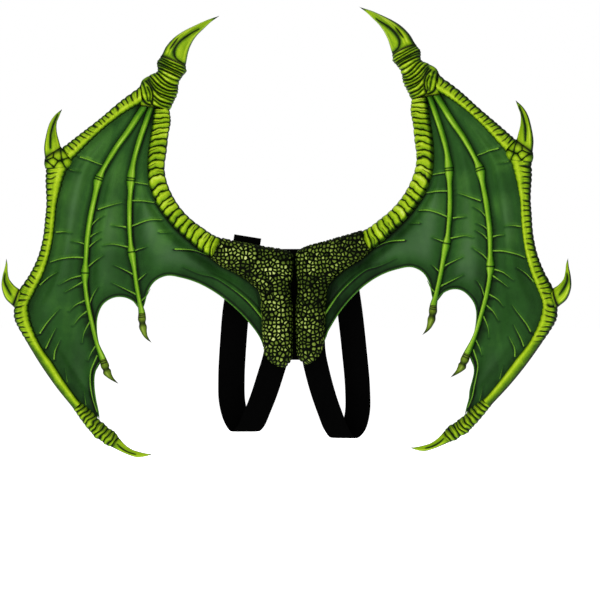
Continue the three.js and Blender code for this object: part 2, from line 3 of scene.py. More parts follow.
import bpy
import numpy as np
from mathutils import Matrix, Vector


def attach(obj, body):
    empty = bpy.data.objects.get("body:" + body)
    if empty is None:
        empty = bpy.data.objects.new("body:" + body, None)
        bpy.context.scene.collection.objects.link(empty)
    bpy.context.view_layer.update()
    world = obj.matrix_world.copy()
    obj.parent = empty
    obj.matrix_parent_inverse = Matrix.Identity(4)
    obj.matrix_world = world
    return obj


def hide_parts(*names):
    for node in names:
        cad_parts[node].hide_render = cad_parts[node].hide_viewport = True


# A pair of moulded foam dragon wings, painted by hand, on a cloth panel with two elastic shoulder straps.
# Sizes are millimetres, and become metres when a mesh is made. A wing is laid out in its own plane:
# x outward from the middle of the panel, z up, and everything raised on it rises towards -y.
# Places are in hundredths of the wing's reach (out) and height (up), and rises in hundredths of the piece's.

WING = {"reach": 446, "height": 665}
HINGE = 5
PANEL = {"wall": 2, "half_width": 50}
SHEET = {"wall": 3, "billow": 9, "steepness": 0.17, "lap": 7, "edge_margin": 6, "shoulder": 16}
RELIEF = {"rim": 1.2, "clearance": 0.3}
RISES = {"arm": 17, "cuff": 22, "wrist_claw": 20, "finger": 15, "knuckle": 16, "spur": 10, "tip": 12,
         "tip_claw": 8, "digit": 8, "digit_claw": 8, "pad": 25}
GROOVE_DEPTHS = {"arm": 1.5, "cuff": 1.8, "claw": 1.3, "finger": 1.3, "knuckle": 1.6, "tip": 1.2,
                 "digit": 0.9, "pad": 2.5}
DIGIT = {"width": 11, "margin": 4}
STRAP = {"width": 41, "wall": 1.6, "bulge": 70}
# Each side's last numbers say how light its pad's pebbles are painted and how much painted shade lies on its
# membrane beside the pad; the right wing is painted darker there, as painted shade.
SIDES = [
    {"name": "left", "mirror": -1, "sweep": 14, "lift": 0, "apart": 0, "bow": 0, "arch": 0, "draw": 0,
     "hook": -3.3, "drop": 0, "inward": 0, "end": 0, "slant": 9, "seed": 3, "pebbles": 0.8, "dusk": 1.1},
    {"name": "right", "mirror": 1, "sweep": 14, "lift": 7.5, "apart": 1.5, "bow": 30, "arch": 5, "draw": 2.4,
     "hook": 3.3, "drop": 24, "inward": 20, "end": 14, "slant": 0, "seed": 8, "pebbles": 0.7, "dusk": 2.3},
]
BOW = {"level": 35, "spread": 69, "full_at": 40}
ARCH = {"middle": 45, "spread": 32}
HOOK = {"from": 45, "to": 62}
FRONT = -PANEL["wall"]
RELIEF_BASE = FRONT - RELIEF["clearance"]
SHEET_BACK = FRONT + SHEET["wall"]

# Rows across each raised piece: out and up of its two long edges, and its rise.
UPPER_FINGER = [
    (53.6, 49.3, 53.0, 45.5, 95), (59.7, 46.3, 57.7, 43.7, 90), (66.5, 42.4, 63.8, 40.7, 80),
    (72.6, 39.2, 69.2, 37.4, 80), (79.3, 35.7, 75.7, 32.9, 90),
]
UPPER_KNUCKLE = [(85.1, 33.0, 79.6, 35.5, 80), (85.1, 31.9, 76.3, 32.6, 100), (84.8, 31.0, 77.4, 30.9, 90)]
MIDDLE_FINGER_STRETCH = [
    (84.8, 30.9, 77.5, 30.8, 95), (85.0, 28.2, 78.9, 28.0, 90), (84.7, 23.0, 81.0, 22.5, 85),
    (85.2, 19.2, 81.6, 18.5, 85), (85.9, 15.1, 82.5, 14.0, 85), (87.6, 10.8, 84.0, 9.7, 85),
    (90.3, 7.0, 86.4, 5.4, 90), (93.5, 3.8, 88.6, 2.5, 100),
]
LOWER_FINGER = [
    (93.5, 3.8, 88.6, 2.5, 100), (95.3, 0.0, 90.4, -0.1, 110), (95.6, -2.9, 90.0, -2.9, 105),
    (94.0, -5.4, 88.8, -5.6, 90), (90.8, -9.0, 86.2, -9.5, 85), (86.6, -13.6, 82.5, -13.0, 80),
    (81.1, -18.9, 78.1, -17.6, 75), (75.5, -23.6, 73.1, -22.1, 75), (72.8, -26.2, 69.9, -23.9, 95),
    (69.6, -28.9, 66.8, -26.2, 100), (67.9, -30.0, 65.1, -27.4, 90), (65.5, -31.1, 62.8, -28.5, 85),
    (62.9, -32.2, 60.4, -30.0, 90), (59.7, -33.3, 58.0, -31.8, 80), (56.6, -34.2, 55.6, -32.9, 60),
    (53.9, -34.7, 53.4, -33.4, 50), (51.2, -34.5, 51.0, -33.8, 35), (48.6, -34.0, 48.6, -34.0, 0),
]
TIP_KNUCKLES_FROM, SHEET_TIP_AT, TIP_CLAW_FROM = 7, 9, 12
UPPER_SPUR = [
    (85.1, 33.1, 79.7, 35.6, 100), (85.4, 35.6, 80.2, 36.8, 110), (84.7, 38.6, 81.1, 39.2, 95),
    (83.5, 41.3, 81.1, 41.3, 75), (81.8, 43.0, 80.3, 42.7, 50), (79.3, 44.4, 79.3, 44.4, 0),
]
LOWER_SPUR = [
    (95.9, -0.3, 93.8, 3.6, 100), (98.5, 1.5, 95.4, 4.4, 110), (99.7, 4.1, 97.1, 5.9, 95),
    (99.4, 6.5, 97.6, 7.6, 75), (98.5, 8.8, 97.7, 9.1, 45), (98.1, 10.5, 98.1, 10.5, 0),
]
WRIST = [
    (52.7, 45.3, 43.0, 44.3, 80), (53.4, 48.9, 41.3, 46.4, 100), (51.9, 51.0, 40.0, 48.5, 100),
    (49.1, 52.3, 39.6, 50.6, 95), (46.8, 53.2, 38.3, 51.9, 95), (46.8, 55.2, 36.9, 53.2, 90),
    (45.4, 56.5, 37.1, 54.1, 90), (44.7, 57.3, 36.7, 55.5, 95), (43.4, 58.9, 35.9, 57.7, 95),
    (40.8, 60.8, 34.5, 59.8, 90), (37.6, 62.3, 32.8, 61.4, 75), (33.8, 63.6, 30.4, 63.0, 55),
    (29.9, 64.8, 28.2, 64.4, 35), (25.2, 65.9, 25.2, 65.9, 0),
]
WRIST_CLAW_FROM = 6
ARM_AND_PAD = [
    (43.0, 44.2, 48.1, 44.7, 80), (42.6, 41.7, 48.8, 41.3, 85), (43.4, 38.6, 49.7, 37.7, 90),
    (44.0, 34.9, 50.3, 34.5, 95), (44.7, 31.3, 50.5, 30.9, 95), (44.2, 28.6, 50.0, 27.5, 90),
    (42.5, 25.5, 48.1, 23.9, 90), (39.6, 22.3, 45.1, 20.7, 90), (35.9, 19.6, 41.0, 17.4, 95),
    (31.5, 17.4, 36.6, 14.7, 100), (28.1, 15.9, 32.5, 12.4, 100), (25.2, 15.1, 28.7, 10.7, 80),
    (21.3, 14.5, 25.3, 9.0, 85), (15.8, 13.8, 19.6, 7.0, 95), (10.0, 13.1, 15.5, 5.2, 100),
    (4.6, 12.5, 12.9, 3.6, 95), (1.4, 11.5, 11.9, 2.0, 90), (1.3, 7.9, 11.7, 0.5, 95),
    (2.0, 3.4, 11.6, -1.6, 100), (1.3, -0.7, 11.4, -4.1, 100), (1.3, -5.0, 11.2, -7.0, 95),
    (1.3, -9.2, 10.9, -9.7, 85), (1.5, -12.0, 9.7, -12.1, 70), (2.9, -13.8, 7.3, -13.5, 45),
]
PAD_FROM = 11
# Rows along a small finger bone: out and up of its middle line, its width and its rise.
MIDDLE_DIGIT = [
    (52.4, 44.3, 95, 90), (57.0, 39.5, 90, 90), (61.4, 35.4, 80, 85), (65.8, 30.4, 75, 80),
    (67.1, 28.5, 130, 115), (67.9, 25.9, 80, 85), (69.7, 20.3, 80, 80), (70.9, 14.7, 75, 75),
    (71.4, 9.7, 70, 75), (71.6, 7.2, 115, 105), (71.6, 5.0, 68, 75), (70.9, 1.1, 65, 70),
    (69.4, -3.8, 62, 70), (67.7, -8.6, 60, 70), (65.6, -12.3, 95, 90), (64.7, -14.2, 120, 100),
    (63.9, -15.6, 95, 85), (62.6, -16.7, 60, 60), (60.2, -18.0, 0, 0),
]
MIDDLE_CLAW_FROM = 14
INNER_DIGIT = [
    (49.7, 44.1, 80, 85), (53.6, 36.5, 80, 85), (55.3, 32.2, 75, 80), (56.1, 28.4, 125, 115),
    (56.3, 25.9, 75, 80), (56.6, 22.5, 70, 75), (56.6, 18.0, 68, 75), (56.2, 13.8, 68, 75),
    (55.9, 12.0, 110, 105), (54.9, 7.9, 66, 75), (54.1, 4.1, 64, 70), (53.1, 0.5, 64, 70),
    (52.4, -1.8, 95, 90), (52.3, -3.6, 115, 100), (51.8, -5.7, 85, 80), (50.9, -7.3, 55, 55),
    (49.0, -8.7, 0, 0),
]
INNER_CLAW_FROM = 12

SHEET_ROOTS = {"outer": (50.9, 46.9), "middle": (49.7, 46.4), "inner": (48.5, 46.3), "arm": (47.4, 46.2)}
SHEET_CORNER = (10.1, -11.0)
SCALLOPS = [
    [(66.8, -26.2), (67.2, -24.1), (68.0, -21.6), (68.6, -18.5), (68.4, -15.8), (67.2, -13.6), (65.6, -12.3)],
    [(65.6, -12.3), (66.8, -9.5), (67.7, -6.1), (67.5, -2.7), (65.6, 0.2), (62.1, 1.7), (58.3, 1.8),
     (55.3, 0.9), (53.4, -0.5), (52.4, -1.8)],
    [(52.4, -1.8), (51.4, 0.7), (50.3, 3.2), (48.1, 5.4), (44.0, 6.7), (38.6, 6.2), (33.2, 5.0),
     (27.7, 3.0), (22.3, 0.3), (16.8, -3.2), (12.1, -7.4), SHEET_CORNER],
]
# How far down the outer, middle, inner and arm lines each level of the membrane lies. The first is flat.
SHEET_LEVELS = [
    (0, 0, 0, 0), (4, 6, 7, 5), (12, 12, 12, 10), (24, 28, 26, 20), (33, 41, 40, 31), (42, 52, 52, 42),
    (51, 62, 64, 53), (60, 72, 75, 64), (71, 82, 86, 76), (84, 91, 94, 88), (100, 100, 100, 100),
]
SHEET_GRID = {"rows": 320, "columns": (56, 46, 128)}

# Raised veins of the membrane, each from its thick end, as places on the wing.
VEINS = [
    ("across", ((73.3, 33.6), (70.6, 33.0), (65.8, 31.8))),
    ("faint", ((76.7, 30.7), (73.3, 30.2))),
    ("side", ((81.5, 16.5), (78.7, 16.6), (76.4, 16.3))),
    ("side", ((70.9, 13.6), (73.6, 14.2), (76.0, 14.4))),
    ("across", ((71.6, 10.7), (76.0, 10.8), (80.1, 10.4), (83.5, 9.7))),
    ("side", ((86.9, 4.5), (84.2, 6.1), (81.1, 7.4))),
    ("side", ((72.3, 6.7), (76.0, 6.1), (80.4, 4.6))),
    ("side", ((71.9, 5.4), (75.3, 4.1), (78.4, 2.9))),
    ("side", ((70.9, 1.2), (74.7, 0.0), (77.0, -1.4))),
    ("side", ((70.2, -1.1), (73.3, -2.7), (75.7, -4.7))),
    ("side", ((69.6, -3.4), (71.9, -6.3), (72.6, -8.6))),
    ("side", ((67.9, -9.2), (69.6, -11.0), (70.6, -12.6))),
    ("across", ((67.5, -11.5), (69.7, -15.1), (69.9, -17.8), (69.0, -21.2), (67.5, -24.4))),
    ("faint", ((71.3, -22.8), (71.9, -19.4))),
    ("side", ((86.9, -6.5), (84.5, -4.1), (80.4, -0.9))),
    ("side", ((84.9, -9.9), (83.5, -7.9), (81.5, -5.2))),
    ("side", ((82.1, -12.4), (81.8, -10.6), (80.1, -7.9))),
    ("faint", ((77.6, -17.6), (78.2, -14.4))),
    ("side", ((69.6, 18.0), (67.5, 19.4), (65.3, 20.3))),
    ("side", ((70.2, 15.3), (68.5, 16.1), (66.6, 16.7))),
    ("side", ((70.4, 13.1), (68.5, 14.2), (66.5, 15.1))),
    ("side", ((70.7, 8.6), (68.2, 10.0), (65.6, 11.2))),
    ("side", ((70.2, 0.2), (68.9, 2.3), (67.4, 4.0))),
    ("side", ((57.7, 17.7), (60.0, 17.9), (62.4, 18.0))),
    ("side", ((56.6, 13.1), (62.4, 13.8), (65.5, 13.5))),
    ("side", ((54.9, 6.8), (58.3, 8.0), (61.7, 9.0))),
    ("side", ((54.3, 2.4), (58.3, 3.7), (62.4, 5.0))),
    ("side", ((67.2, 21.7), (63.1, 22.6), (59.0, 23.3))),
    ("across", ((56.0, 28.0), (52.9, 27.7), (50.2, 27.4))),
    ("across", ((56.1, 23.7), (52.9, 23.7), (48.1, 23.3))),
    ("across", ((56.3, 17.8), (49.9, 19.3), (45.5, 19.4))),
    ("faint", ((46.4, 16.5), (42.3, 16.5))),
    ("side", ((41.3, 12.7), (34.5, 12.4), (30.1, 11.3))),
    ("side", ((55.3, 12.2), (53.2, 12.7), (50.9, 13.2))),
    ("side", ((54.1, 5.4), (52.6, 6.2), (50.9, 7.2))),
    ("side", ((53.2, 0.5), (50.9, 2.0), (49.5, 3.6))),
    ("fold", ((11.4, -2.9), (15.2, 0.1), (17.9, 1.8), (22.7, 4.2), (27.9, 6.3), (32.5, 7.0), (38.3, 8.6))),
    ("crease", ((11.4, -1.6), (14.5, 0.7), (17.3, 2.4), (22.4, 5.0), (27.9, 6.9), (32.5, 7.6))),
    ("crease", ((12.1, -1.6), (12.4, 0.2), (13.1, 2.5), (14.1, 4.1))),
]
# How a vein of each kind stands: its radius, what is left of it at its far end, how bright it is painted,
# and how dark the painted shade below it is. A crease is only a groove, and that number is how black it is.
VEIN_KINDS = {
    "across": {"radius": 1.2, "far": 0.75, "tone": 0.66, "dark": 0.4},
    "side": {"radius": 1.2, "far": 0.3, "tone": 0.68, "dark": 0.45},
    "faint": {"radius": 0.8, "far": 0.3, "tone": 0.5, "dark": 0.25},
    "fold": {"radius": 1.8, "far": 0.25, "tone": 0.62, "dark": 0.5},
    "crease": {"radius": 0.0, "far": 0.2, "tone": 0.0, "dark": 0.9},
}
LIP = {"radius": 1.0, "tone": 0.42}
RIDGE = {"sides": 8, "thickness": 1.0}

# Black grooves cut into the raised pieces.
CUFF_GROOVES = [
    ((46.8, 55.2), (42.7, 53.7), (37.9, 52.3)), ((46.6, 53.9), (44.0, 53.0), (41.0, 52.1), (38.6, 51.4)),
    ((47.4, 52.8), (44.4, 50.7), (42.0, 49.9), (39.6, 49.8)),
    ((49.5, 51.9), (46.8, 49.8), (43.4, 48.6), (40.0, 48.7)),
    ((50.2, 51.0), (47.8, 48.5), (44.4, 47.4), (41.0, 46.9)),
    ((48.8, 47.6), (46.8, 46.4), (44.4, 45.8), (41.3, 45.5)),
    ((49.5, 46.2), (48.8, 45.3), (46.1, 44.6), (43.4, 44.2)),
    ((52.9, 50.3), (52.6, 47.4), (51.2, 45.8), (49.5, 45.3)),
    ((50.9, 50.7), (49.5, 49.4), (48.8, 47.6), (49.1, 45.5)),
]
CUFF_CREASES = [
    ((46.3, 55.8), (42.4, 54.3), (37.5, 52.9)), ((45.8, 56.2), (42.3, 54.9), (37.3, 53.6)),
    ((46.7, 54.6), (43.4, 53.5), (38.2, 51.9)), ((46.9, 53.3), (44.2, 51.9), (41.6, 51.1), (38.9, 50.8)),
    ((48.2, 52.3), (45.6, 50.3), (42.7, 49.3), (39.8, 49.3)),
    ((50.0, 51.4), (47.3, 49.1), (43.9, 48.0), (40.3, 47.8)),
    ((48.6, 48.9), (46.6, 47.5), (44.0, 46.7), (41.0, 46.2)), ((48.6, 46.6), (46.2, 45.4), (43.4, 44.8)),
    ((52.0, 50.4), (51.0, 48.0), (50.4, 46.2)), ((50.6, 49.4), (49.7, 47.8), (49.9, 46.2)),
]
WRIST_CLAW_GROOVES = [
   
    ((32.5, 62.7), (35.9, 61.3), (38.4, 60.1), (40.3, 58.6), (41.1, 57.3), (40.5, 55.9),
     (38.9, 55.1), (37.4, 54.7)),
    ((42.2, 58.2), (41.0, 59.3), (39.8, 60.4)), ((45.4, 56.4), (42.0, 55.1), (37.2, 54.0)),
]
UPPER_SPUR_GROOVES = [((83.3, 35.5), (83.3, 37.0), (83.2, 38.6), (82.5, 40.4), (81.6, 41.9), (80.8, 43.1))]
LOWER_SPUR_GROOVES = [((96.6, 2.4), (97.6, 3.6), (98.3, 4.5), (98.8, 5.6), (98.6, 7.0))]
TIP_CLAW_GROOVES = [((60.7, -31.6), (59.0, -32.7), (57.0, -33.5), (54.6, -34.0))]
KNUCKLE_LUMPS = [
    (80.9, 33.8), (82.5, 32.3), (78.7, 34.0), (77.6, 32.2), (80.3, 31.3), (83.8, 31.4), (83.6, 34.0),
]
PAD_CREASES = [
    ((15.5, 9.7), (14.1, 9.9), (13.1, 11.7)), ((11.4, 7.4), (10.0, 5.4), (8.0, 2.9)),
    ((11.4, 3.4), (9.4, 2.7), (8.0, 2.3)),
]

# How many rings the arm has down to each of its rows, what share of them is halved by a finer crease, and
# which one is paler. Then how far apart the ticks of the leading finger and the rings of its tip are, where a
# small claw has its collars, and how far up the pad's lower end is rounded.
ARM_RINGS_AT_ROW = [0, 2.8, 5.4, 7.5, 9.6, 11.4, 13.5, 15.8, 18.2, 20.4, 22.4, 24]
ARM_HALVED, ARM_PALE_RING = 0.45, 11.35
TICKS = {"spacing": 8.5, "half": 1.35, "lit_at": 2.6}
TIP_RINGS = {"spacing": 7.2, "half": 1.2, "knobs": ((9.9, 0.45), (11.4, 0.4))}
COLLARS = (2.2, 5.2, 8.4)
PAD_ROUNDED = 16

# How finely each raised piece is cut, in cells along it and across.
CELLS = {"arm": (460, 34), "cuff": (150, 64), "knuckle": (46, 64), "tip": (120, 28), "digit": (320, 16),
         "digit_claw": (120, 20), "pad": (320, 104)}
# Claws: their rows and the first of them, their rise, their grooves and half the width of those, and how far
# each claw reaches under its neighbour.
CLAWS = [
    {"name": "wrist_claw", "rows": WRIST, "first": WRIST_CLAW_FROM, "rise": RISES["wrist_claw"],
     "lines": WRIST_CLAW_GROOVES, "half": 1.6, "cells": (140, 44), "overlap": 1},
    {"name": "upper_spur", "rows": UPPER_SPUR, "first": 0, "rise": RISES["spur"],
     "lines": UPPER_SPUR_GROOVES, "half": 1.5, "cells": (80, 28), "overlap": 2},
    {"name": "lower_spur", "rows": LOWER_SPUR, "first": 0, "rise": RISES["spur"],
     "lines": LOWER_SPUR_GROOVES, "half": 1.5, "cells": (80, 28), "overlap": 5},
    {"name": "tip_claw", "rows": LOWER_FINGER, "first": TIP_CLAW_FROM, "rise": RISES["tip_claw"],
     "lines": TIP_CLAW_GROOVES, "half": 1.0, "cells": (90, 24), "overlap": 1},
]
# Stretches of the leading finger. Its ticks cross more of it about the elbow and end at the fade, in rows.
FINGERS = [
    {"name": "outer_finger_upper", "rows": UPPER_FINGER, "last": 4, "cells": (170, 28),
     "elbow": (2.2, 1.8), "fade": (8, 9), "reach": (3, 2)},
    {"name": "outer_finger_middle", "rows": MIDDLE_FINGER_STRETCH, "last": 7, "cells": (230, 28),
     "elbow": (7, 1.0), "fade": (8, 9), "reach": (1.5, 0.5)},
    {"name": "outer_finger_lower", "rows": LOWER_FINGER, "last": TIP_KNUCKLES_FROM, "cells": (230, 28),
     "elbow": (0.8, 1.6), "fade": (3.4, 4.2), "reach": (0.5, 1)},
]
# Small fingers: the row where the claw starts, and the rows of the ringed nodes with each ring's place by it.
DIGITS = [
    {"name": "middle", "rows": MIDDLE_DIGIT, "claw_from": MIDDLE_CLAW_FROM,
     "nodes": [(4, (-3.2, 0.6)), (9, (0.0,))]},
    {"name": "inner", "rows": INNER_DIGIT, "claw_from": INNER_CLAW_FROM,
     "nodes": [(3, (-2.4, 1.2)), (8, (0.0,))]},
]

STRAP_PATH = [
    (16.3, 15.6, 100, 0, 100), (16.7, 14.0, 100, 0, 60), (17.4, 10.9, 0, 0, 10), (18.0, 8.4, 0, 3, 0),
    (18.7, 4.5, 0, 14, 0), (19.8, -1.1, 0, 36, 0), (20.4, -9.0, 0, 70, 0), (20.7, -16.9, 0, 95, 0),
    (20.4, -22.6, 0, 100, 0), (18.8, -26.9, 0, 92, 0), (16.5, -29.2, 0, 70, 0), (14.6, -28.0, 0, 50, 0),
    (12.5, -24.6, 0, 38, 0), (10.3, -20.6, 0, 28, 0), (8.1, -15.6, 0, 14, 0), (6.5, -11.7, 0, 3, 0),
    (5.6, -8.6, 0, 0, 0),
]

# Rows of the cloth panel: up, and its half width in hundredths of its own.
PANEL_ROWS = [(12.75, 100), (8.5, 97), (5.0, 85), (3.0, 56), (-6.0, 50), (-12.6, 48)]
PANEL_CELLS = {"up": 57, "flap": 14, "middle": 5}
STRAP_CELLS = {"along": 240, "across": 15}

# Pebbles: how far apart they are, how high they stand, and how irregular their field is.
PEBBLE = {"pitch": 6.1, "rise": 1.6, "randomness": 0.84, "gap": 0.06, "shoulder": 0.32, "round": 0.66}
PEBBLE_SHIFT = (37.3, 11.9)

# The photographed pair is seen by a long lens from a little to its own left, in metres.
VIEW = {"azimuth": 8.4, "elevation": 0.0, "distance": 4.5, "width": 0.903, "far": 50,
        "centre": (0.01375, -0.045, 0.0072)}
SENSOR = 36.0
# Where each light stands, how wide it is and its power, and what they all look at.
LIGHTS = {"key": ((-1.1, -2.6, 1.9), 1.6, 42), "fill": ((1.8, -2.4, 0.6), 2.0, 14),
          "top": ((0.0, 0.4, 2.4), 1.6, 16), "back": ((-0.8, 2.8, 1.0), 2.0, 26)}
LIT = (0, 0, 0.1)
FLOOR = {"level": -0.33, "half_width": 30.0, "glow": 0.8}
WORLD_LIGHT = 0.32
DRESSED = "_dressed"


# Numbers

def smooth(value, low, high):
    share = np.clip((value - low) / (high - low), 0, 1)
    return share * share * (3 - 2 * share)


def bump(value, half):
    return np.exp(-(value / half) ** 2)


def grain(x, z, size, seed):
    """Soft noise from 0 to 1 over a plane, with lumps of that size."""
    lattice = np.random.RandomState(seed).rand(97, 97)
    u, v = x / size + 1000, z / size + 1000
    i, j = np.floor(u).astype(int), np.floor(v).astype(int)
    fu, fv = smooth(u - i, 0, 1), smooth(v - j, 0, 1)
    i, j, k, m = i % 97, j % 97, (i + 1) % 97, (j + 1) % 97
    near = lattice[i, j] * (1 - fu) + lattice[k, j] * fu
    far = lattice[i, m] * (1 - fu) + lattice[k, m] * fu
    return near * (1 - fv) + far * fv


def chance(number, seed):
    """A fixed random number from 0 to 1 for each whole number."""
    return np.random.RandomState(seed).rand(512)[np.asarray(number).astype(int) % 512]


def counted(phase):
    """Which ring each point is in, and how far through it from 0 to 1."""
    number = np.floor(phase)
    return number, phase - number


class Curve:
    """A centripetal curve through rows of numbers, read by row or by length."""

    def __init__(self, rows):
        self.rows = np.asarray(rows, float)
        first, last = 2 * self.rows[0] - self.rows[1], 2 * self.rows[-1] - self.rows[-2]
        self.padded = np.vstack([first, self.rows, last])
        self.steps = np.linspace(0, len(self.rows) - 1, 24 * (len(self.rows) - 1) + 1)
        path = self.at(self.steps)
        self.lengths = np.concatenate([[0], np.cumsum(np.linalg.norm(np.diff(path, axis=0), axis=1))])

    def at(self, row):
        row = np.asarray(row, float)
        cell = np.clip(np.floor(row).astype(int), 0, len(self.rows) - 2)
        w = (row - cell)[..., None]
        p0, p1, p2, p3 = (self.padded[cell + k] for k in range(4))
        d0, d1, d2 = (np.maximum(np.sum((b - a) ** 2, axis=-1, keepdims=True) ** 0.25, 1e-4)
                      for a, b in ((p0, p1), (p1, p2), (p2, p3)))
        start = ((p1 - p0) / d0 - (p2 - p0) / (d0 + d1) + (p2 - p1) / d1) * d1
        end = ((p2 - p1) / d1 - (p3 - p1) / (d1 + d2) + (p3 - p2) / d2) * d1
        return (p1 + start * w + (3 * (p2 - p1) - 2 * start - end) * w ** 2
                + (2 * (p1 - p2) + start + end) * w ** 3)

    def along(self, share):
        return self.at(np.interp(np.asarray(share) * self.lengths[-1], self.lengths, self.steps))

    def direction(self, share):
        ahead, behind = self.along(np.minimum(share + 1e-3, 1)), self.along(np.maximum(share - 1e-3, 0))
        return (ahead - behind) / np.linalg.norm(ahead - behind, axis=-1, keepdims=True)


def place(side, points):
    """Places in hundredths as x and z on the wing's plane."""
    points = np.asarray(points, float)
    out, up = points[..., 0], points[..., 1]
    lean = side["draw"] + side["bow"] * ((up - BOW["level"]) / BOW["spread"]) ** 2
    hooked = side["hook"] * smooth(up, HOOK["from"], HOOK["to"])
    x = out / 100 * WING["reach"] - lean * smooth(out, 0, BOW["full_at"]) - hooked
    z = up / 100 * WING["height"] + side["arch"] * (1 - ((out - ARCH["middle"]) / ARCH["spread"]) ** 2)
    return np.stack([x, z], axis=-1)


def to_world(side, x, y, z):
    """Points of the wing's plane where the wing hangs, in metres."""
    turn = math.radians(side["sweep"])
    along = x + side["apart"] - HINGE
    across = (HINGE + along * math.cos(turn) + y * math.sin(turn)) * side["mirror"]
    depth = -along * math.sin(turn) + y * math.cos(turn)
    return np.stack(np.broadcast_arrays(across, depth, z + side["lift"]), axis=-1) / 1000


def nearest(points, line):
    """How far each point is from a line, how far along the line that is from 0 to 1, and how far above it."""
    line = np.asarray(line, float)
    best = np.full(points.shape[:-1], np.inf)
    share, above = np.zeros_like(best), np.zeros_like(best)
    lengths = np.concatenate([[0], np.cumsum(np.linalg.norm(np.diff(line, axis=0), axis=1))])
    for k, (start, end) in enumerate(zip(line[:-1], line[1:])):
        step = end - start
        w = np.clip(np.sum((points - start) * step, axis=-1) / (step @ step), 0, 1)
        gap = points - start - w[..., None] * step
        distance = np.linalg.norm(gap, axis=-1)
        closer = distance < best
        best = np.where(closer, distance, best)
        share = np.where(closer, (lengths[k] + w * (lengths[k + 1] - lengths[k])) / lengths[-1], share)
        above = np.where(closer, gap[..., 1], above)
    return best, share, above


def grooves(side, points, lines, half, ends=0.9):
    """How deep in a groove each point lies, from 0 to 1. A groove is that share as wide at its two ends."""
    deep = np.zeros(points.shape[:-1])
    for line in lines:
        path = Curve(place(side, line)).along(np.linspace(0, 1, 16))
        distance, share, _ = nearest(points, path)
        width = half * (ends + (1 - ends) * np.sin(np.pi * np.clip(share, 0.02, 0.98)) ** 0.5)
        deep = np.maximum(deep, bump(distance, width))
    return deep


# Meshes

def show(name, data):
    """A new object in the scene."""
    made = bpy.data.objects.new(name, data)
    bpy.context.scene.collection.objects.link(made)
    return made


def quads(index):
    a, b, c, d = index[:-1, :-1], index[:-1, 1:], index[1:, 1:], index[1:, :-1]
    return list(map(tuple, np.stack([a, b, c, d], axis=-1).reshape(-1, 4).tolist()))


def make_mesh(name, points, faces, finish, fields=None, sharp=50):
    """A closed mesh with its faces turned outward, and numbers kept on its points for its paint."""
    mesh = bpy.data.meshes.new(name + DRESSED)
    mesh.from_pydata(points.tolist(), [], faces)
    mesh.update()
    for key, numbers in (fields or {}).items():
        numbers = np.ascontiguousarray(numbers, np.float32)
        kind, slot = ("FLOAT_VECTOR", "vector") if numbers.ndim == 2 else ("FLOAT", "value")
        mesh.attributes.new(key, kind, "POINT").data.foreach_set(slot, numbers.ravel())
    mesh.calc_loop_triangles()
    corners = np.zeros(len(mesh.loop_triangles) * 3, np.int32)
    mesh.loop_triangles.foreach_get("vertices", corners)
    a, b, c = (points[corners.reshape(-1, 3)[:, k]] for k in range(3))
    if np.sum(a * np.cross(b, c)) < 0:
        mesh.flip_normals()
    mesh.polygons.foreach_set("use_smooth", np.ones(len(mesh.polygons), bool))
    mesh.set_sharp_from_angle(angle=math.radians(sharp))
    mesh.materials.append(finish)
    return show(name + DRESSED, mesh)


def both_edges(first, second, high):
    """Two edges on the wing's plane as curves of x, rise and z."""
    return [Curve(np.column_stack([edge[:, 0], high, edge[:, 1]])) for edge in (first, second)]


def edges_of(side, rows, rise):
    """The two long edges of a raised piece."""
    rows = np.asarray(rows, float)
    return both_edges(place(side, rows[:, 0:2]), place(side, rows[:, 2:4]), rows[:, 4] / 100 * rise)


def digit_edges(side, rows, rise):
    """The same from the middle line of a finger bone and its width at each row."""
    rows = np.asarray(rows, float)
    middle = place(side, rows[:, 0:2])
    line, steps = Curve(middle), np.arange(len(rows), dtype=float)
    along = line.at(np.minimum(steps + 0.01, len(rows) - 1)) - line.at(np.maximum(steps - 0.01, 0))
    along /= np.linalg.norm(along, axis=1, keepdims=True)
    across = np.column_stack([-along[:, 1], along[:, 0]]) * rows[:, 2:3] / 100 * DIGIT["width"] / 2
    return both_edges(middle + across, middle - across, rows[:, 3] / 100 * rise)


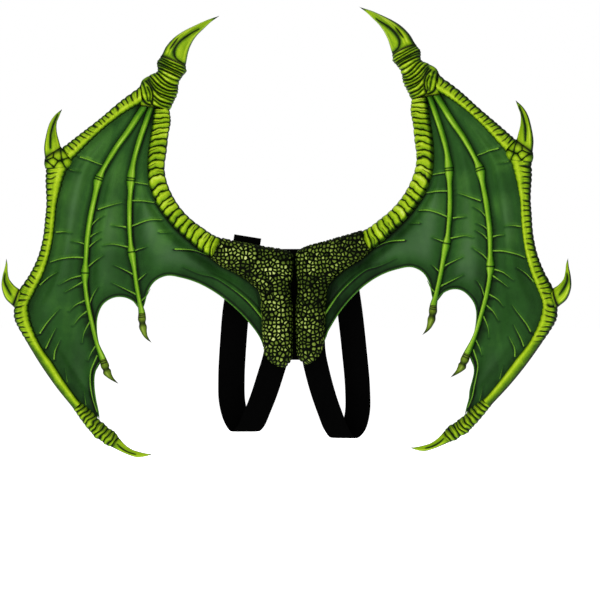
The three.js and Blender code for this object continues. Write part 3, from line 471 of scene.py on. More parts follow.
class Relief:
    """A grid over a raised piece: t along its rows and s across it from its first edge to its second."""

    def __init__(self, side, edges, low, high, cells, fullness=0.85, reach=(1.0, 1.0)):
        self.side = side
        step = (high - low) * 1e-3
        speeds = [np.linalg.norm(self.middle(edges, t + step) - self.middle(edges, t)) / step
                  for t in (low, high - step)]
        self.pointed = np.linalg.norm(edges[0].at(high) - edges[1].at(high)) < 1e-6
        further = 0 if self.pointed else reach[1] / speeds[1]
        self.t = np.linspace(low - reach[0] / speeds[0], high + further, cells[0] + 1)[:, None]
        self.share = (self.t - self.t[0]) / (self.t[-1] - self.t[0])
        angle = np.linspace(0, math.pi, cells[1] + 1)[None, :]
        self.s = (1 - np.cos(angle)) / 2
        self.arch = np.clip(np.sin(angle), 0, 1) ** fullness
        self.a, self.b = edges[0].at(self.t[:, 0])[:, None, :], edges[1].at(self.t[:, 0])[:, None, :]
        self.rise = self.a[..., 1]
        self.width = np.linalg.norm((self.a - self.b)[..., [0, 2]], axis=-1)
        middle = (self.a + self.b)[:, 0, :] / 2
        steps = np.linalg.norm(np.diff(middle, axis=0), axis=1)
        self.length = np.concatenate([[0], np.cumsum(steps)])[:, None]
        self.plane = (self.a + (self.b - self.a) * self.s[..., None])[..., [0, 2]]
        self.x, self.z = self.plane[..., 0], self.plane[..., 1]

    @staticmethod
    def middle(edges, t):
        return (edges[0].at(t) + edges[1].at(t)) / 2

    def grain(self, size, seed=0):
        """Soft noise from 0 to 1 over the piece, another for each side."""
        return grain(self.x, self.z, size, self.side["seed"] + seed)

    def streaks(self, start, fineness, length, seed=0):
        """Noise from -0.5 to 0.5 in streaks of that length along the piece."""
        return grain(self.s * fineness + start, self.length / length, 1.0, self.side["seed"] + seed) - 0.5

    def rings(self, places, half):
        """Narrow rings round the piece at those lengths along it."""
        return np.max([bump(self.length - place, half) for place in places], axis=0)

    def domed(self, sunk=0.0):
        """The height of a plain raised piece, over its rim."""
        rim = RELIEF["rim"] * smooth(self.rise, 0, 3)
        return rim + (self.rise - RELIEF["rim"]) * self.arch * (1 - sunk)

    def carved(self, name, finish, depth, cut, tone, black, sunk=0.0, spread=0.0):
        """The domed piece with grooves cut that deep into it, its paint's tone, and where it is black."""
        height = self.domed(sunk) - depth * cut * self.arch
        return self.body(name, finish, height, {"tone": tone, "groove": black}, spread)

    def chart(self, height):
        """Where each point lies if the front is laid out flat about the piece's middle line."""
        across = (self.b - self.a)[..., [0, 2]]
        step = np.hypot(np.linalg.norm(np.diff(self.plane, axis=1), axis=-1), np.diff(height, axis=1))
        walked = np.pad(np.cumsum(step, axis=1), ((0, 0), (1, 0)))
        signed = walked - walked[:, walked.shape[1] // 2, None]
        middle = (self.a + self.b)[..., [0, 2]] / 2
        flat = middle + across / np.linalg.norm(across, axis=-1, keepdims=True) * signed[..., None]
        return np.concatenate([flat, np.zeros_like(flat[..., :1])], axis=-1)

    def body(self, name, finish, height, fields, spread=0.0, sharp=60):
        """The closed piece: its front at that height over the flat back, its rim and its two ends."""
        share = 0.5 + (self.s - 0.5) * (1 + spread)
        front = self.a + (self.b - self.a) * share[..., None]
        rows, columns = front.shape[:2]
        y = RELIEF_BASE - np.maximum(height, 0.3) * np.ones((rows, columns))
        x, z = front[..., 0], front[..., 2]
        x, z, y = (np.hstack([part[:, :1], part, part[:, -1:]]) for part in (x, z, y))
        y[:, 0] = y[:, -1] = RELIEF_BASE
        fields = {key: self.widened(numbers, rows, columns) for key, numbers in fields.items()}
        fields["tone"][:, [0, -1]] = BACK_TONE
        columns += 2
        points = to_world(self.side, x, y, z).reshape(-1, 3)
        fields = {key: numbers.reshape(len(points), *numbers.shape[2:]) for key, numbers in fields.items()}
        count = rows - 1 if not self.pointed else rows - 2
        index = np.arange(len(points)).reshape(rows, columns)[:count + 1]
        faces = quads(np.hstack([index, index[:, :1]]))
        last = count * columns
        if self.pointed:
            points[last + columns] = points[-columns:].mean(axis=0)
            points = points[:last + columns + 1]
            fields = {key: numbers[:len(points)] for key, numbers in fields.items()}
            faces += [(last + c, last + (c + 1) % columns, len(points) - 1) for c in range(columns)]
        for end in [0] if self.pointed else [0, last]:
            ring = points[end:end + columns]
            points = np.vstack([points, (ring[0] + ring[-1] + 2 * ring.mean(axis=0)) / 4])
            fields = {key: np.append(numbers, numbers[:1] * 0, axis=0) for key, numbers in fields.items()}
            fan = [(end + (c + 1) % columns, end + c, len(points) - 1) for c in range(columns)]
            faces += fan if end == 0 else [face[::-1] for face in fan]
        return make_mesh(f"{name}_{self.side['name']}", points, faces, finish, fields, sharp)

    @staticmethod
    def widened(numbers, rows, columns):
        """A field with its first and last columns doubled, for the two corners of the back."""
        numbers = np.broadcast_to(numbers, (rows, columns, *np.shape(numbers)[2:]))
        return np.concatenate([numbers[:, :1], numbers, numbers[:, -1:]], axis=1).copy()


# Paints and cloths

class Value:
    """A shader socket, on which Python arithmetic builds Math nodes."""

    def __init__(self, finish, socket):
        self.finish, self.socket = finish, socket

    def math(self, operation, *others, clamp=False):
        inputs = {k: other for k, other in enumerate((self, *others))}
        return self.finish.node("ShaderNodeMath", {"operation": operation, "use_clamp": clamp}, inputs)

    def __add__(self, other):
        return self.math("ADD", other)

    def __sub__(self, other):
        return self.math("SUBTRACT", other)

    def __mul__(self, other):
        return self.math("MULTIPLY", other)

    def __rsub__(self, other):
        return self.finish.node("ShaderNodeMath", {"operation": "SUBTRACT"}, {0: other, 1: self})

    __radd__, __rmul__ = __add__, __mul__

    def about(self, spread):
        """Noise about 0, over that spread."""
        return (self - 0.5) * spread

    def clamped(self):
        return self.math("ADD", 0.0, clamp=True)


class Graph:
    """A node tree."""

    def __init__(self, tree):
        self.tree = tree

    def node(self, kind, settings=None, inputs=None, output=0):
        node = self.tree.nodes.new(kind)
        for key, value in (settings or {}).items():
            if key == "stops":
                ramp = node.color_ramp
                while len(ramp.elements) < len(value):
                    ramp.elements.new(0.5)
                for element, (position, colour) in zip(ramp.elements, value):
                    element.position, element.color = position, colour
            else:
                setattr(node, key, value)
        for key, value in (inputs or {}).items():
            self.feed(node.inputs[key], value)
        return Value(self, node.outputs[output])

    def feed(self, socket, value):
        if isinstance(value, Value):
            self.tree.links.new(value.socket, socket)
        else:
            socket.default_value = value

    def scales(self, cell, feature, output):
        """The cells of a pebbled skin: how far a place is from its cell's edge or middle, or its colour."""
        settings = {"voronoi_dimensions": "2D", "feature": feature}
        inputs = {"Vector": cell, "Scale": 1.0, "Randomness": PEBBLE["randomness"]}
        return self.node("ShaderNodeTexVoronoi", settings, inputs, output)

    def pebble(self, cell):
        """How far inside its rounded pebble a place is."""
        edge, centre = (self.scales(cell, feature, "Distance") for feature in ("DISTANCE_TO_EDGE", "F1"))
        return edge.math("MINIMUM", PEBBLE["round"] - centre)

    def crown(self, inside, gap, shoulder):
        """How high on its pebble a place is, from 0 in the gap to 1."""
        inputs = {"Value": inside, "From Min": gap, "From Max": shoulder}
        return self.node("ShaderNodeMapRange", {"interpolation_type": "SMOOTHSTEP"}, inputs)


class Finish(Graph):
    """A material and its nodes."""

    def __init__(self, name):
        self.material = bpy.data.materials.new(name)
        self.material.use_nodes = True
        super().__init__(self.material.node_tree)
        self.shader = self.tree.nodes["Principled BSDF"]

    def set(self, **sockets):
        """Feeds the shader, and gives the material."""
        for key, value in sockets.items():
            self.feed(self.shader.inputs[key.replace("_", " ").title().replace("Ior", "IOR")], value)
        return self.material

    def field(self, name, output="Fac"):
        return self.node("ShaderNodeAttribute", {"attribute_name": name}, output=output)

    def place(self):
        return self.node("ShaderNodeTexCoord", output="Object")

    def noise(self, scale, detail=3.0, rough=0.55, where=None):
        inputs = {"Vector": where or self.place(), "Scale": scale, "Detail": detail, "Roughness": rough}
        return self.node("ShaderNodeTexNoise", {}, inputs, "Fac")

    def ramp(self, fac, stops):
        stops = [(position, colour_of(colour)) for position, colour in stops]
        return self.node("ShaderNodeValToRGB", {"stops": stops}, {"Fac": fac}, "Color")

    def mix(self, share, first, second):
        first, second = (c if isinstance(c, Value) else colour_of(c) for c in (first, second))
        return self.node("ShaderNodeMix", {"data_type": "RGBA"}, {"Factor": share, 6: first, 7: second}, 2)

    def grooved(self, colour, noise, strength, least):
        """That colour, and black in the grooves."""
        groove = (self.field("groove") * (noise * strength + least)).clamped()
        return self.mix(groove, colour, GROOVE_BLACK)

    def bump(self, height, strength, distance):
        inputs = {"Height": height, "Strength": strength, "Distance": distance}
        return self.node("ShaderNodeBump", {}, inputs, "Normal")


class Tree(Graph):
    """A Geometry Nodes tree with named inputs."""

    def __init__(self, name, **inputs):
        super().__init__(bpy.data.node_groups.new(name, "GeometryNodeTree"))
        self.socket("Geometry", "INPUT", "NodeSocketGeometry")
        for key, value in inputs.items():
            kind = "NodeSocketInt" if isinstance(value, int) else "NodeSocketFloat"
            self.socket(key, "INPUT", kind).default_value = value
        self.socket("Geometry", "OUTPUT", "NodeSocketGeometry")
        self.start = self.tree.nodes.new("NodeGroupInput")
        self.end = self.tree.nodes.new("NodeGroupOutput")

    def socket(self, name, side, kind):
        return self.tree.interface.new_socket(name.title(), in_out=side, socket_type=kind)

    def given(self, name):
        return Value(self, self.start.outputs[name.title()])

    def stored(self, name, kind="FLOAT"):
        return self.node("GeometryNodeInputNamedAttribute", {"data_type": kind}, {"Name": name})

    def finish(self, geometry, material):
        """The end of every tree: real geometry with its material."""
        real = self.node("GeometryNodeRealizeInstances", {}, {"Geometry": geometry})
        done = self.node("GeometryNodeSetMaterial", {}, {"Geometry": real, "Material": material})
        self.tree.links.new(done.socket, self.end.inputs["Geometry"])

    def grow(self, carrier, name, **inputs):
        """The plain mesh that the tree makes of an object, which is removed."""
        modifier = carrier.modifiers.new("tree", "NODES")
        modifier.node_group = self.tree
        for item in self.tree.interface.items_tree:
            if item.in_out == "INPUT" and item.name.lower() in inputs:
                modifier[item.identifier] = inputs[item.name.lower()]
        evaluated = carrier.evaluated_get(bpy.context.evaluated_depsgraph_get())
        mesh = bpy.data.meshes.new_from_object(evaluated)
        carrier.modifiers.remove(modifier)
        bpy.data.objects.remove(carrier)
        mesh.name = name
        return show(name, mesh)


def colour_of(rgb):
    """A colour from its 0 to 255 screen values."""
    linear = [(c / 255 / 12.92) if c <= 10 else ((c / 255 + 0.055) / 1.055) ** 2.4 for c in rgb]
    return (*linear, 1.0)


GROOVE_BLACK = (5, 9, 3)
LIME_STOPS = [(0.0, (8, 16, 4)), (0.18, (24, 44, 8)), (0.38, (58, 92, 10)), (0.56, (112, 148, 12)),
              (0.76, (158, 186, 28)), (0.9, (184, 206, 78)), (1.0, (212, 226, 146))]
BONE_STOPS = [(0.0, (6, 18, 6)), (0.2, (20, 58, 14)), (0.45, (60, 112, 18)), (0.7, (116, 160, 30)),
              (0.88, (156, 192, 68)), (1.0, (200, 220, 130))]
MEMBRANE_STOPS = [(0.0, (8, 18, 8)), (0.2, (22, 50, 18)), (0.42, (36, 75, 27)), (0.6, (59, 104, 38)),
                  (0.78, (110, 160, 50)), (1.0, (168, 202, 90))]
SMALL_CLAW_STOPS = [(0.0, (8, 12, 4)), (0.3, (38, 52, 10)), (0.6, (84, 108, 20)), (1.0, (150, 172, 70))]
VEIN_STOPS = [(0.0, (8, 22, 8)), (0.4, (50, 96, 28)), (0.7, (112, 162, 46)), (1.0, (172, 204, 96))]
PEBBLE_STOPS = [(0.0, (4, 6, 2)), (0.16, (14, 22, 6)), (0.34, (48, 64, 18)), (0.55, (96, 116, 40)),
                (0.8, (152, 170, 84)), (1.0, (196, 204, 134))]
# The grey-blue colour of the membrane's painted highlight.
PAINTED_HIGHLIGHT_COLOUR = (74, 102, 70)
PALE, WHITE = (250, 250, 250), (255, 255, 255)
BACK_TONE = 0.13
SPECULAR = {"paint": 0.05, "pebbles": 0.02, "cloth": 0.0}
# How many lumps of each kind of mottling there are to a metre.
LUMPS = {"blotch": 55, "fine": 420, "pores": 1500, "sheet_blotch": 22, "sheet_streak": 90, "sheet_fine": 600,
         "pebble_fine": 900, "pebble_blotch": 45, "fuzz": 900}
# The bands of a wave texture of scale 1, in metres, how much lighter the raised threads are painted, as a
# painted highlight, and the two cloths.
BAND, THREAD_LIGHTER = 0.314, 9
CLOTH = {"colour": (2, 2, 2), "pitch": 0.0012}
ELASTIC = {"colour": (1, 1, 1), "pitch": 0.0016}


def paint(name, stops, mottle=0.16, speckle=0.12, roughness=0.42, grip=0.25):
    """Hand-brushed latex paint: the tone on the piece picks the colour, and its grooves are black."""
    finish = Finish(name)
    blotch, fine = finish.noise(LUMPS["blotch"]), finish.noise(LUMPS["fine"], 4)
    pores = finish.noise(LUMPS["pores"], 2)
    tone = finish.field("tone") + blotch.about(2 * mottle) + fine.about(2 * speckle)
    colour = finish.grooved(finish.ramp(tone.clamped(), stops), fine, 0.5, 0.85)
    return finish.set(base_color=colour, roughness=fine.about(0.22) + roughness,
                      specular_ior_level=SPECULAR["paint"],
                      normal=finish.bump(fine * 0.7 + pores * 0.3, grip, 0.0006))


def membrane_paint():
    """Thin paint over a smooth skin, with a grey-blue painted highlight between the bones."""
    finish = Finish("membrane_paint")
    blotch, streak = finish.noise(LUMPS["sheet_blotch"], 4), finish.noise(LUMPS["sheet_streak"], 4)
    fine = finish.noise(LUMPS["sheet_fine"], 3)
    tone = finish.field("tone") + blotch.about(0.22) + streak.about(0.12) + fine.about(0.06)
    # The painted highlight, in patches, mixes grey-blue into the membrane's colour.
    haze = (finish.field("haze") * (blotch * 1.2 + 0.3)).clamped()
    colour = finish.mix(haze, finish.ramp(tone.clamped(), MEMBRANE_STOPS), PAINTED_HIGHLIGHT_COLOUR)
    return finish.set(base_color=finish.grooved(colour, fine, 0.4, 0.8), roughness=streak * 0.2 + 0.32,
                      specular_ior_level=SPECULAR["paint"],
                      normal=finish.bump(streak * 0.5 + fine * 0.5, 0.2, 0.0008))


def pebbled(name):
    """Pebbles by the same cells as their shape: black between them, and each with its own shade of lime."""
    finish = Finish(name)
    cell = finish.field("cell", "Vector")
    own = finish.node("ShaderNodeSeparateColor", {}, {"Color": finish.scales(cell, "F1", "Color")}, "Red")
    fine, blotch = finish.noise(LUMPS["pebble_fine"], 3), finish.noise(LUMPS["pebble_blotch"], 2)
    crown = finish.crown(finish.pebble(cell) + fine.about(0.06), PEBBLE["gap"], PEBBLE["shoulder"])
    tone = crown * (finish.field("tone") * (own * 0.6 + 0.68) + blotch.about(0.5))
    return finish.set(base_color=finish.ramp(tone.clamped(), PEBBLE_STOPS), roughness=fine * 0.2 + 0.38,
                      specular_ior_level=SPECULAR["pebbles"], normal=finish.bump(fine, 0.2, 0.0005))


def woven(name, colour, pitch):
    """Black woven cloth or elastic: threads over and under along the piece's own UV map, in metres."""
    finish = Finish(name)
    where = finish.node("ShaderNodeUVMap", {"uv_map": "weave"})
    bands = {"Vector": where, "Scale": BAND / pitch}
    warp, weft = (finish.node("ShaderNodeTexWave", {"bands_direction": way}, bands) for way in "XY")
    threads, fuzz = warp * weft, finish.noise(LUMPS["fuzz"], 3)
    # The raised threads are painted lighter, as a painted highlight on the black.
    lighter = tuple(c + THREAD_LIGHTER for c in colour)
    return finish.set(base_color=finish.mix((threads * 0.8 + fuzz * 0.3).clamped(), colour, lighter),
                      roughness=fuzz * 0.2 + 0.7, normal=finish.bump(threads, 0.5, 0.0004),
                      specular_ior_level=SPECULAR["cloth"])


# Pieces

def claw_tone(grid):
    """Lime with painted highlights as pale lines along its first edge and near its second, dark edges and a dark
    tip.
    """
    t, s = grid.share, grid.s
    tone = 0.28 + 0.34 * grid.arch ** 0.8 - 0.6 * smooth(t, 0.86, 1.0) + 0.2 * grid.streaks(40, 9, 14)
    # Pale lines along the claw: painted highlights.
    lines = bump(s - 0.14, 0.045) + 0.7 * bump(s - 0.26, 0.03) + 0.6 * bump(s - 0.86, 0.04)
    tone = tone + 0.3 * lines * smooth(t, 0.06, 0.2) * (1 - smooth(t, 0.7, 0.95))
    return tone - 0.3 * (1 - smooth(np.minimum(s, 1 - s), 0.0, 0.07))


def make_arm(side, finish):
    """Overlapping rings, arched below the cuff and slanted towards the pad, that part in finer creases."""
    grid = Relief(side, edges_of(side, ARM_AND_PAD, RISES["arm"]), 0, PAD_FROM, CELLS["arm"], reach=(3, 2))
    t, s, seed = grid.t, grid.s, side["seed"]
    wobble = (grid.grain(9) - 0.5) * 0.3 + (grid.grain(3.5, 2) - 0.5) * 0.16
    rings = np.interp(t, np.arange(PAD_FROM + 1), ARM_RINGS_AT_ROW)
    arched = 0.38 * smooth(t, 1.6, 2.8) * (1 - smooth(t, 4.4, 5.6)) + 0.1
    slanted = 0.62 * smooth(t, 4.6, 6.4)
    phase = rings + arched * 4 * s * (1 - s) - slanted * s ** 1.8 + wobble
    number, part = counted(phase)
    pitch = grid.length[-1, 0] / ARM_RINGS_AT_ROW[-1]
    half = 0.75 + 0.75 * grid.grain(6, 4) + 0.5 * smooth(np.abs(s - 0.5), 0.3, 0.5)
    crease = bump(np.minimum(part, 1 - part) * pitch, half)
    halved, from_first = chance(number, seed + 9) < ARM_HALVED, chance(number, seed + 10) < 0.5
    reached = np.where(from_first, 1 - smooth(s, 0.3, 0.6), smooth(s, 0.4, 0.7))
    crease = np.maximum(crease, halved * reached * bump((part - 0.5) * pitch, 0.7) * 0.85)
    swell = np.sin(np.pi * part) ** 0.5
    # Each ring is lighter where it swells, with a painted highlight near its upper edge and a random tone of its
    # own.
    tone = 0.3 + 0.34 * swell + 0.18 * (chance(number, seed) - 0.5) + 0.16 * bump(part - 0.3, 0.2)
    tone = tone * smooth(s, 0.0, 0.14) * (1 - 0.65 * smooth(s, 0.84, 1.0))
    tone = tone + 0.1 * bump(phase - ARM_PALE_RING, 0.35)
    black = np.maximum(crease, 0.8 * (1 - smooth(s, 0.0, 0.05)))
    return grid.carved("arm", finish, GROOVE_DEPTHS["arm"], crease, tone, black, 0.16 * (1 - swell),
                       0.07 * (swell - 0.55))


def make_cuff(side, finish):
    """The wrinkled wrist."""
    grid = Relief(side, edges_of(side, WRIST, RISES["cuff"]), 0, WRIST_CLAW_FROM, CELLS["cuff"])
    wrinkle = np.maximum(grooves(side, grid.plane, CUFF_GROOVES, 1.5),
                         0.85 * grooves(side, grid.plane, CUFF_CREASES, 0.8))
    soft = grooves(side, grid.plane, CUFF_GROOVES + CUFF_CREASES, 2.4)
    fine = grain(grid.x / 3, grid.z, 2.2, side["seed"] + 5) - 0.5
    # The cuff is painted darker about its wrinkles, as painted shade.
    tone = (0.86 - 0.46 * soft + 0.24 * fine) * (0.24 + 0.76 * grid.arch ** 0.7)
    ends = np.maximum(bump(grid.t - WRIST_CLAW_FROM, 0.2), bump(grid.t - grid.t[0], 0.1))
    return grid.carved("wrist_cuff", finish, GROOVE_DEPTHS["cuff"], wrinkle, tone, np.maximum(wrinkle, ends),
                       0.17 * soft, 0.05 * (0.6 - soft))


def make_claw(side, finish, name, rows, first, rise, lines, half, cells, overlap):
    """A smooth claw with the black grooves of its lines."""
    grid = Relief(side, edges_of(side, rows, rise), first, len(rows) - 1, cells, reach=(overlap, 0))
    groove = grooves(side, grid.plane, lines, half, 0.2)
    soft = grooves(side, grid.plane, lines, 2.6 * half, 0.4)
    black = np.maximum(groove, bump(grid.length - overlap, 2.4))
    # The claw is painted darker about its grooves, as painted shade.
    return grid.carved(name, finish, GROOVE_DEPTHS["claw"], groove, claw_tone(grid) - 0.24 * soft, black)


def make_finger(side, finish, name, rows, last, cells, elbow, fade, reach):
    """A stretch of the leading finger: a lime ridge, with black ticks over its outer half."""
    grid = Relief(side, edges_of(side, rows, RISES["finger"]), 0, last, cells, reach=reach)
    s, spacing = grid.s, TICKS["spacing"]
    number, part = counted(grid.length / spacing + 0.35 * s + (grid.grain(12, 6) - 0.5) * 0.7)
    gap = np.minimum(part, 1 - part) * spacing
    drawn = 1 - smooth(grid.t, *fade)
    across = 0.36 + 0.26 * chance(number, side["seed"] + 20) + 0.16 * bump(grid.t - elbow[0], elbow[1])
    tick = bump(gap, TICKS["half"]) * (1 - smooth(s, across - 0.14, across + 0.06)) * drawn
    lit = bump(gap - TICKS["lit_at"], 1.3) * bump(s - 0.26, 0.16) * drawn
    ridge = bump(s - 0.64, 0.2)
    tone = 0.34 + 0.3 * ridge + 0.12 * smooth(s, 0.1, 0.4) - 0.42 * smooth(s, 0.78, 1.0) + 0.3 * lit
    tone = tone * (0.3 + 0.7 * smooth(s, 0.0, 0.12))
    black = np.maximum(tick, 0.75 * (1 - smooth(s, 0.0, 0.045)))
    return grid.carved(name, finish, GROOVE_DEPTHS["finger"], tick, tone, black, 0.14 * (1 - ridge),
                       -0.09 * bump(gap, 1.8) * drawn)


def make_knuckle(side, finish):
    """A knuckle of rounded lumps with black between them."""
    grid = Relief(side, edges_of(side, UPPER_KNUCKLE, RISES["knuckle"]), 0, len(UPPER_KNUCKLE) - 1,
                  CELLS["knuckle"], reach=(2, 1.5))
    distances = [np.linalg.norm(grid.plane - place(side, lump), axis=-1) for lump in KNUCKLE_LUMPS]
    nearest_lump, next_lump = np.sort(distances, axis=0)[:2]
    groove = bump(next_lump - nearest_lump, 2.0)
    swell = 1 - np.clip(nearest_lump / 9, 0, 1) ** 2
    tone = (0.26 + 0.46 * swell) * (0.3 + 0.7 * grid.arch ** 0.6)
    ends = np.maximum(bump(grid.t - grid.t[0], 0.3), bump(grid.t - grid.t[-1], 0.2))
    return grid.carved("upper_knuckle", finish, GROOVE_DEPTHS["knuckle"], groove, tone,
                       np.maximum(groove, 0.9 * ends), 0.28 * (1 - swell), 0.06)


def make_tip_knuckles(side, finish):
    """The ringed stretch above the tip's claw, swollen at its two knobs."""
    grid = Relief(side, edges_of(side, LOWER_FINGER, RISES["tip"]), TIP_KNUCKLES_FROM, TIP_CLAW_FROM,
                  CELLS["tip"])
    phase = grid.length / TIP_RINGS["spacing"] - 0.5 * grid.s + (grid.grain(7, 8) - 0.5) * 0.7
    gap = np.abs(phase - np.round(phase)) * TIP_RINGS["spacing"]
    groove = np.maximum(bump(gap, TIP_RINGS["half"]), 0.7 * bump(gap - 2.6, 0.6) * smooth(grid.s, 0.3, 0.7))
    soft = bump(gap, 2.6)
    knobs = sum(bump(grid.t - row, half) for row, half in TIP_RINGS["knobs"])
    # Darker about its rings, as painted shade.
    tone = (0.78 - 0.4 * soft) * (0.35 + 0.65 * grid.arch ** 0.7)
    return grid.carved("tip_knuckles", finish, GROOVE_DEPTHS["tip"], groove, tone, groove, 0.2 * soft,
                       0.1 + 0.16 * knobs - 0.1 * soft)


def make_digit(side, finish, name, rows, claw_from, nodes):
    """A thin finger bone with ringed nodes."""
    grid = Relief(side, digit_edges(side, rows, RISES["digit"]), 0, claw_from, CELLS["digit"], reach=(7, 0.5))
    centres = {row: np.interp(row, grid.t[:, 0], grid.length[:, 0]) for row, _ in nodes}
    ring = grid.rings([centres[row] + offset for row, offsets in nodes for offset in offsets], 1.0)
    # A painted highlight runs along the bone beside its middle.
    tone = 0.16 + 0.5 * grid.arch ** 1.3 + 0.14 * bump(grid.s - 0.6, 0.14) + 0.16 * grid.streaks(30, 6, 22, 7)
    tone = tone * (0.66 + 0.34 * smooth(grid.length, 4, 40)) - 0.25 * ring
    return grid.carved(f"{name}_finger", finish, GROOVE_DEPTHS["digit"], ring, tone, 0.85 * ring)


def make_small_claw(side, finish, name, rows, claw_from):
    """A small claw: three collars, a bulb and a hook."""
    grid = Relief(side, digit_edges(side, rows, RISES["digit_claw"]), claw_from, len(rows) - 1,
                  CELLS["digit_claw"], reach=(1.5, 0))
    t, ring = grid.share, grid.rings(COLLARS, 0.9)
    waist = bump(t - 0.34, 0.07)
    tone = 0.16 + 0.5 * grid.arch ** 1.2 - 0.45 * smooth(t, 0.6, 1.0) - 0.2 * waist
    tone = tone + 0.2 * bump(grid.s - 0.36, 0.1) * bump(t - 0.5, 0.16)
    spread = 0.16 * bump(t - 0.46, 0.1) - 0.24 * waist - 0.16 * smooth(t, 0.6, 0.8)
    black = np.maximum(0.9 * ring, 0.6 * waist)
    return grid.carved(f"{name}_claw", finish, GROOVE_DEPTHS["digit"], ring, tone, black, spread=spread)


def sheet_lines(side):
    def line(root, rows):
        return Curve(place(side, [SHEET_ROOTS[root], *rows]))
    finger = [row[2:4] for row in (*UPPER_FINGER[:-1], *UPPER_KNUCKLE[1:-1], *MIDDLE_FINGER_STRETCH[:-1],
                                   *LOWER_FINGER[:SHEET_TIP_AT + 1])]
    return [line("outer", finger), line("middle", [row[:2] for row in MIDDLE_DIGIT[:MIDDLE_CLAW_FROM + 1]]),
            line("inner", [row[:2] for row in INNER_DIGIT[:INNER_CLAW_FROM + 1]]),
            line("arm", [row[2:4] for row in ARM_AND_PAD[:-2]] + [SHEET_CORNER])]


def sheet_depths():
    """How far down each line every row of the membrane lies, and how open the billow is there."""
    levels = np.asarray(SHEET_LEVELS, float) / 100
    steps = np.linspace(0, len(levels) - 1, SHEET_GRID["rows"] + 1)
    depths = Curve(levels).at(steps)
    depths[0], depths[-1] = levels[0], levels[-1]
    return np.clip(depths, 0, 1), smooth(steps, 1, 2)


def lap(line, depth, turn):
    along = line.direction(depth)
    return line.along(depth) + np.stack([along[:, 1], -along[:, 0]], axis=-1) * SHEET["lap"] * turn


def make_membrane(side, finish):
    lines, (depths, opened) = sheet_lines(side), sheet_depths()
    samples = [line.along(np.linspace(0, 1, 160)) for line in lines]
    digit = DIGIT["width"] / 2 + DIGIT["margin"]
    margins = [(SHEET["edge_margin"], digit), (digit, digit), (digit, SHEET["edge_margin"])]
    parts, heights = [lap(lines[0], depths[:, 0], -1)[:, None]], [np.zeros((len(depths), 1))]
    for panel, (before, after) in enumerate(margins):
        first, second, scallop = lines[panel], lines[panel + 1], Curve(place(side, SCALLOPS[panel]))
        down = depths[:, panel], depths[:, panel + 1]
        start, end = first.along(down[0]), second.along(down[1])
        chord = end - start
        bounds = []
        for line, depth, margin in ((first, down[0], before), (second, down[1], after)):
            along = line.direction(depth)
            slant = np.abs(along[:, 0] * chord[:, 1] - along[:, 1] * chord[:, 0])
            bounds.append(np.minimum(margin / np.maximum(slant, margin), 0.4))
        k = np.linspace(0, 1, SHEET_GRID["columns"][panel] + 1)[None, :]
        share = bounds[0][:, None] + (1 - bounds[0] - bounds[1])[:, None] * k
        straight = start[:, None] + chord[:, None] * share[..., None]
        last = first.along(1.0) + (second.along(1.0) - first.along(1.0)) * share[..., None]
        pull = (down[0][:, None] + (down[1] - down[0])[:, None] * share) ** 2
        points = straight + (scallop.along(share) - last) * pull[..., None]
        free = np.linalg.norm(chord, axis=1)[:, None] * (1 - bounds[0] - bounds[1])[:, None]
        near_first, near_second = nearest(points, samples[panel])[0], nearest(points, samples[panel + 1])[0]
        clear = (smooth(near_first, before, before + SHEET["shoulder"])
                 * smooth(near_second, after, after + SHEET["shoulder"]))
        billow = np.minimum(SHEET["billow"], SHEET["steepness"] * free) * (1 - np.cos(2 * np.pi * k)) / 2
        parts.append(points)
        heights.append(billow * clear * opened[:, None])
        if panel < 2:
            parts.append(end[:, None])
            heights.append(np.zeros((len(depths), 1)))
    parts.append(lap(lines[3], depths[:, 3], 1)[:, None])
    heights.append(np.zeros((len(depths), 1)))
    plane, height = np.concatenate(parts, axis=1), np.concatenate(heights, axis=1)
    height, fields = dress_membrane(side, plane, height, samples)
    return make_skin(side, finish, plane, height, fields), plane.reshape(-1, 2), height.ravel()


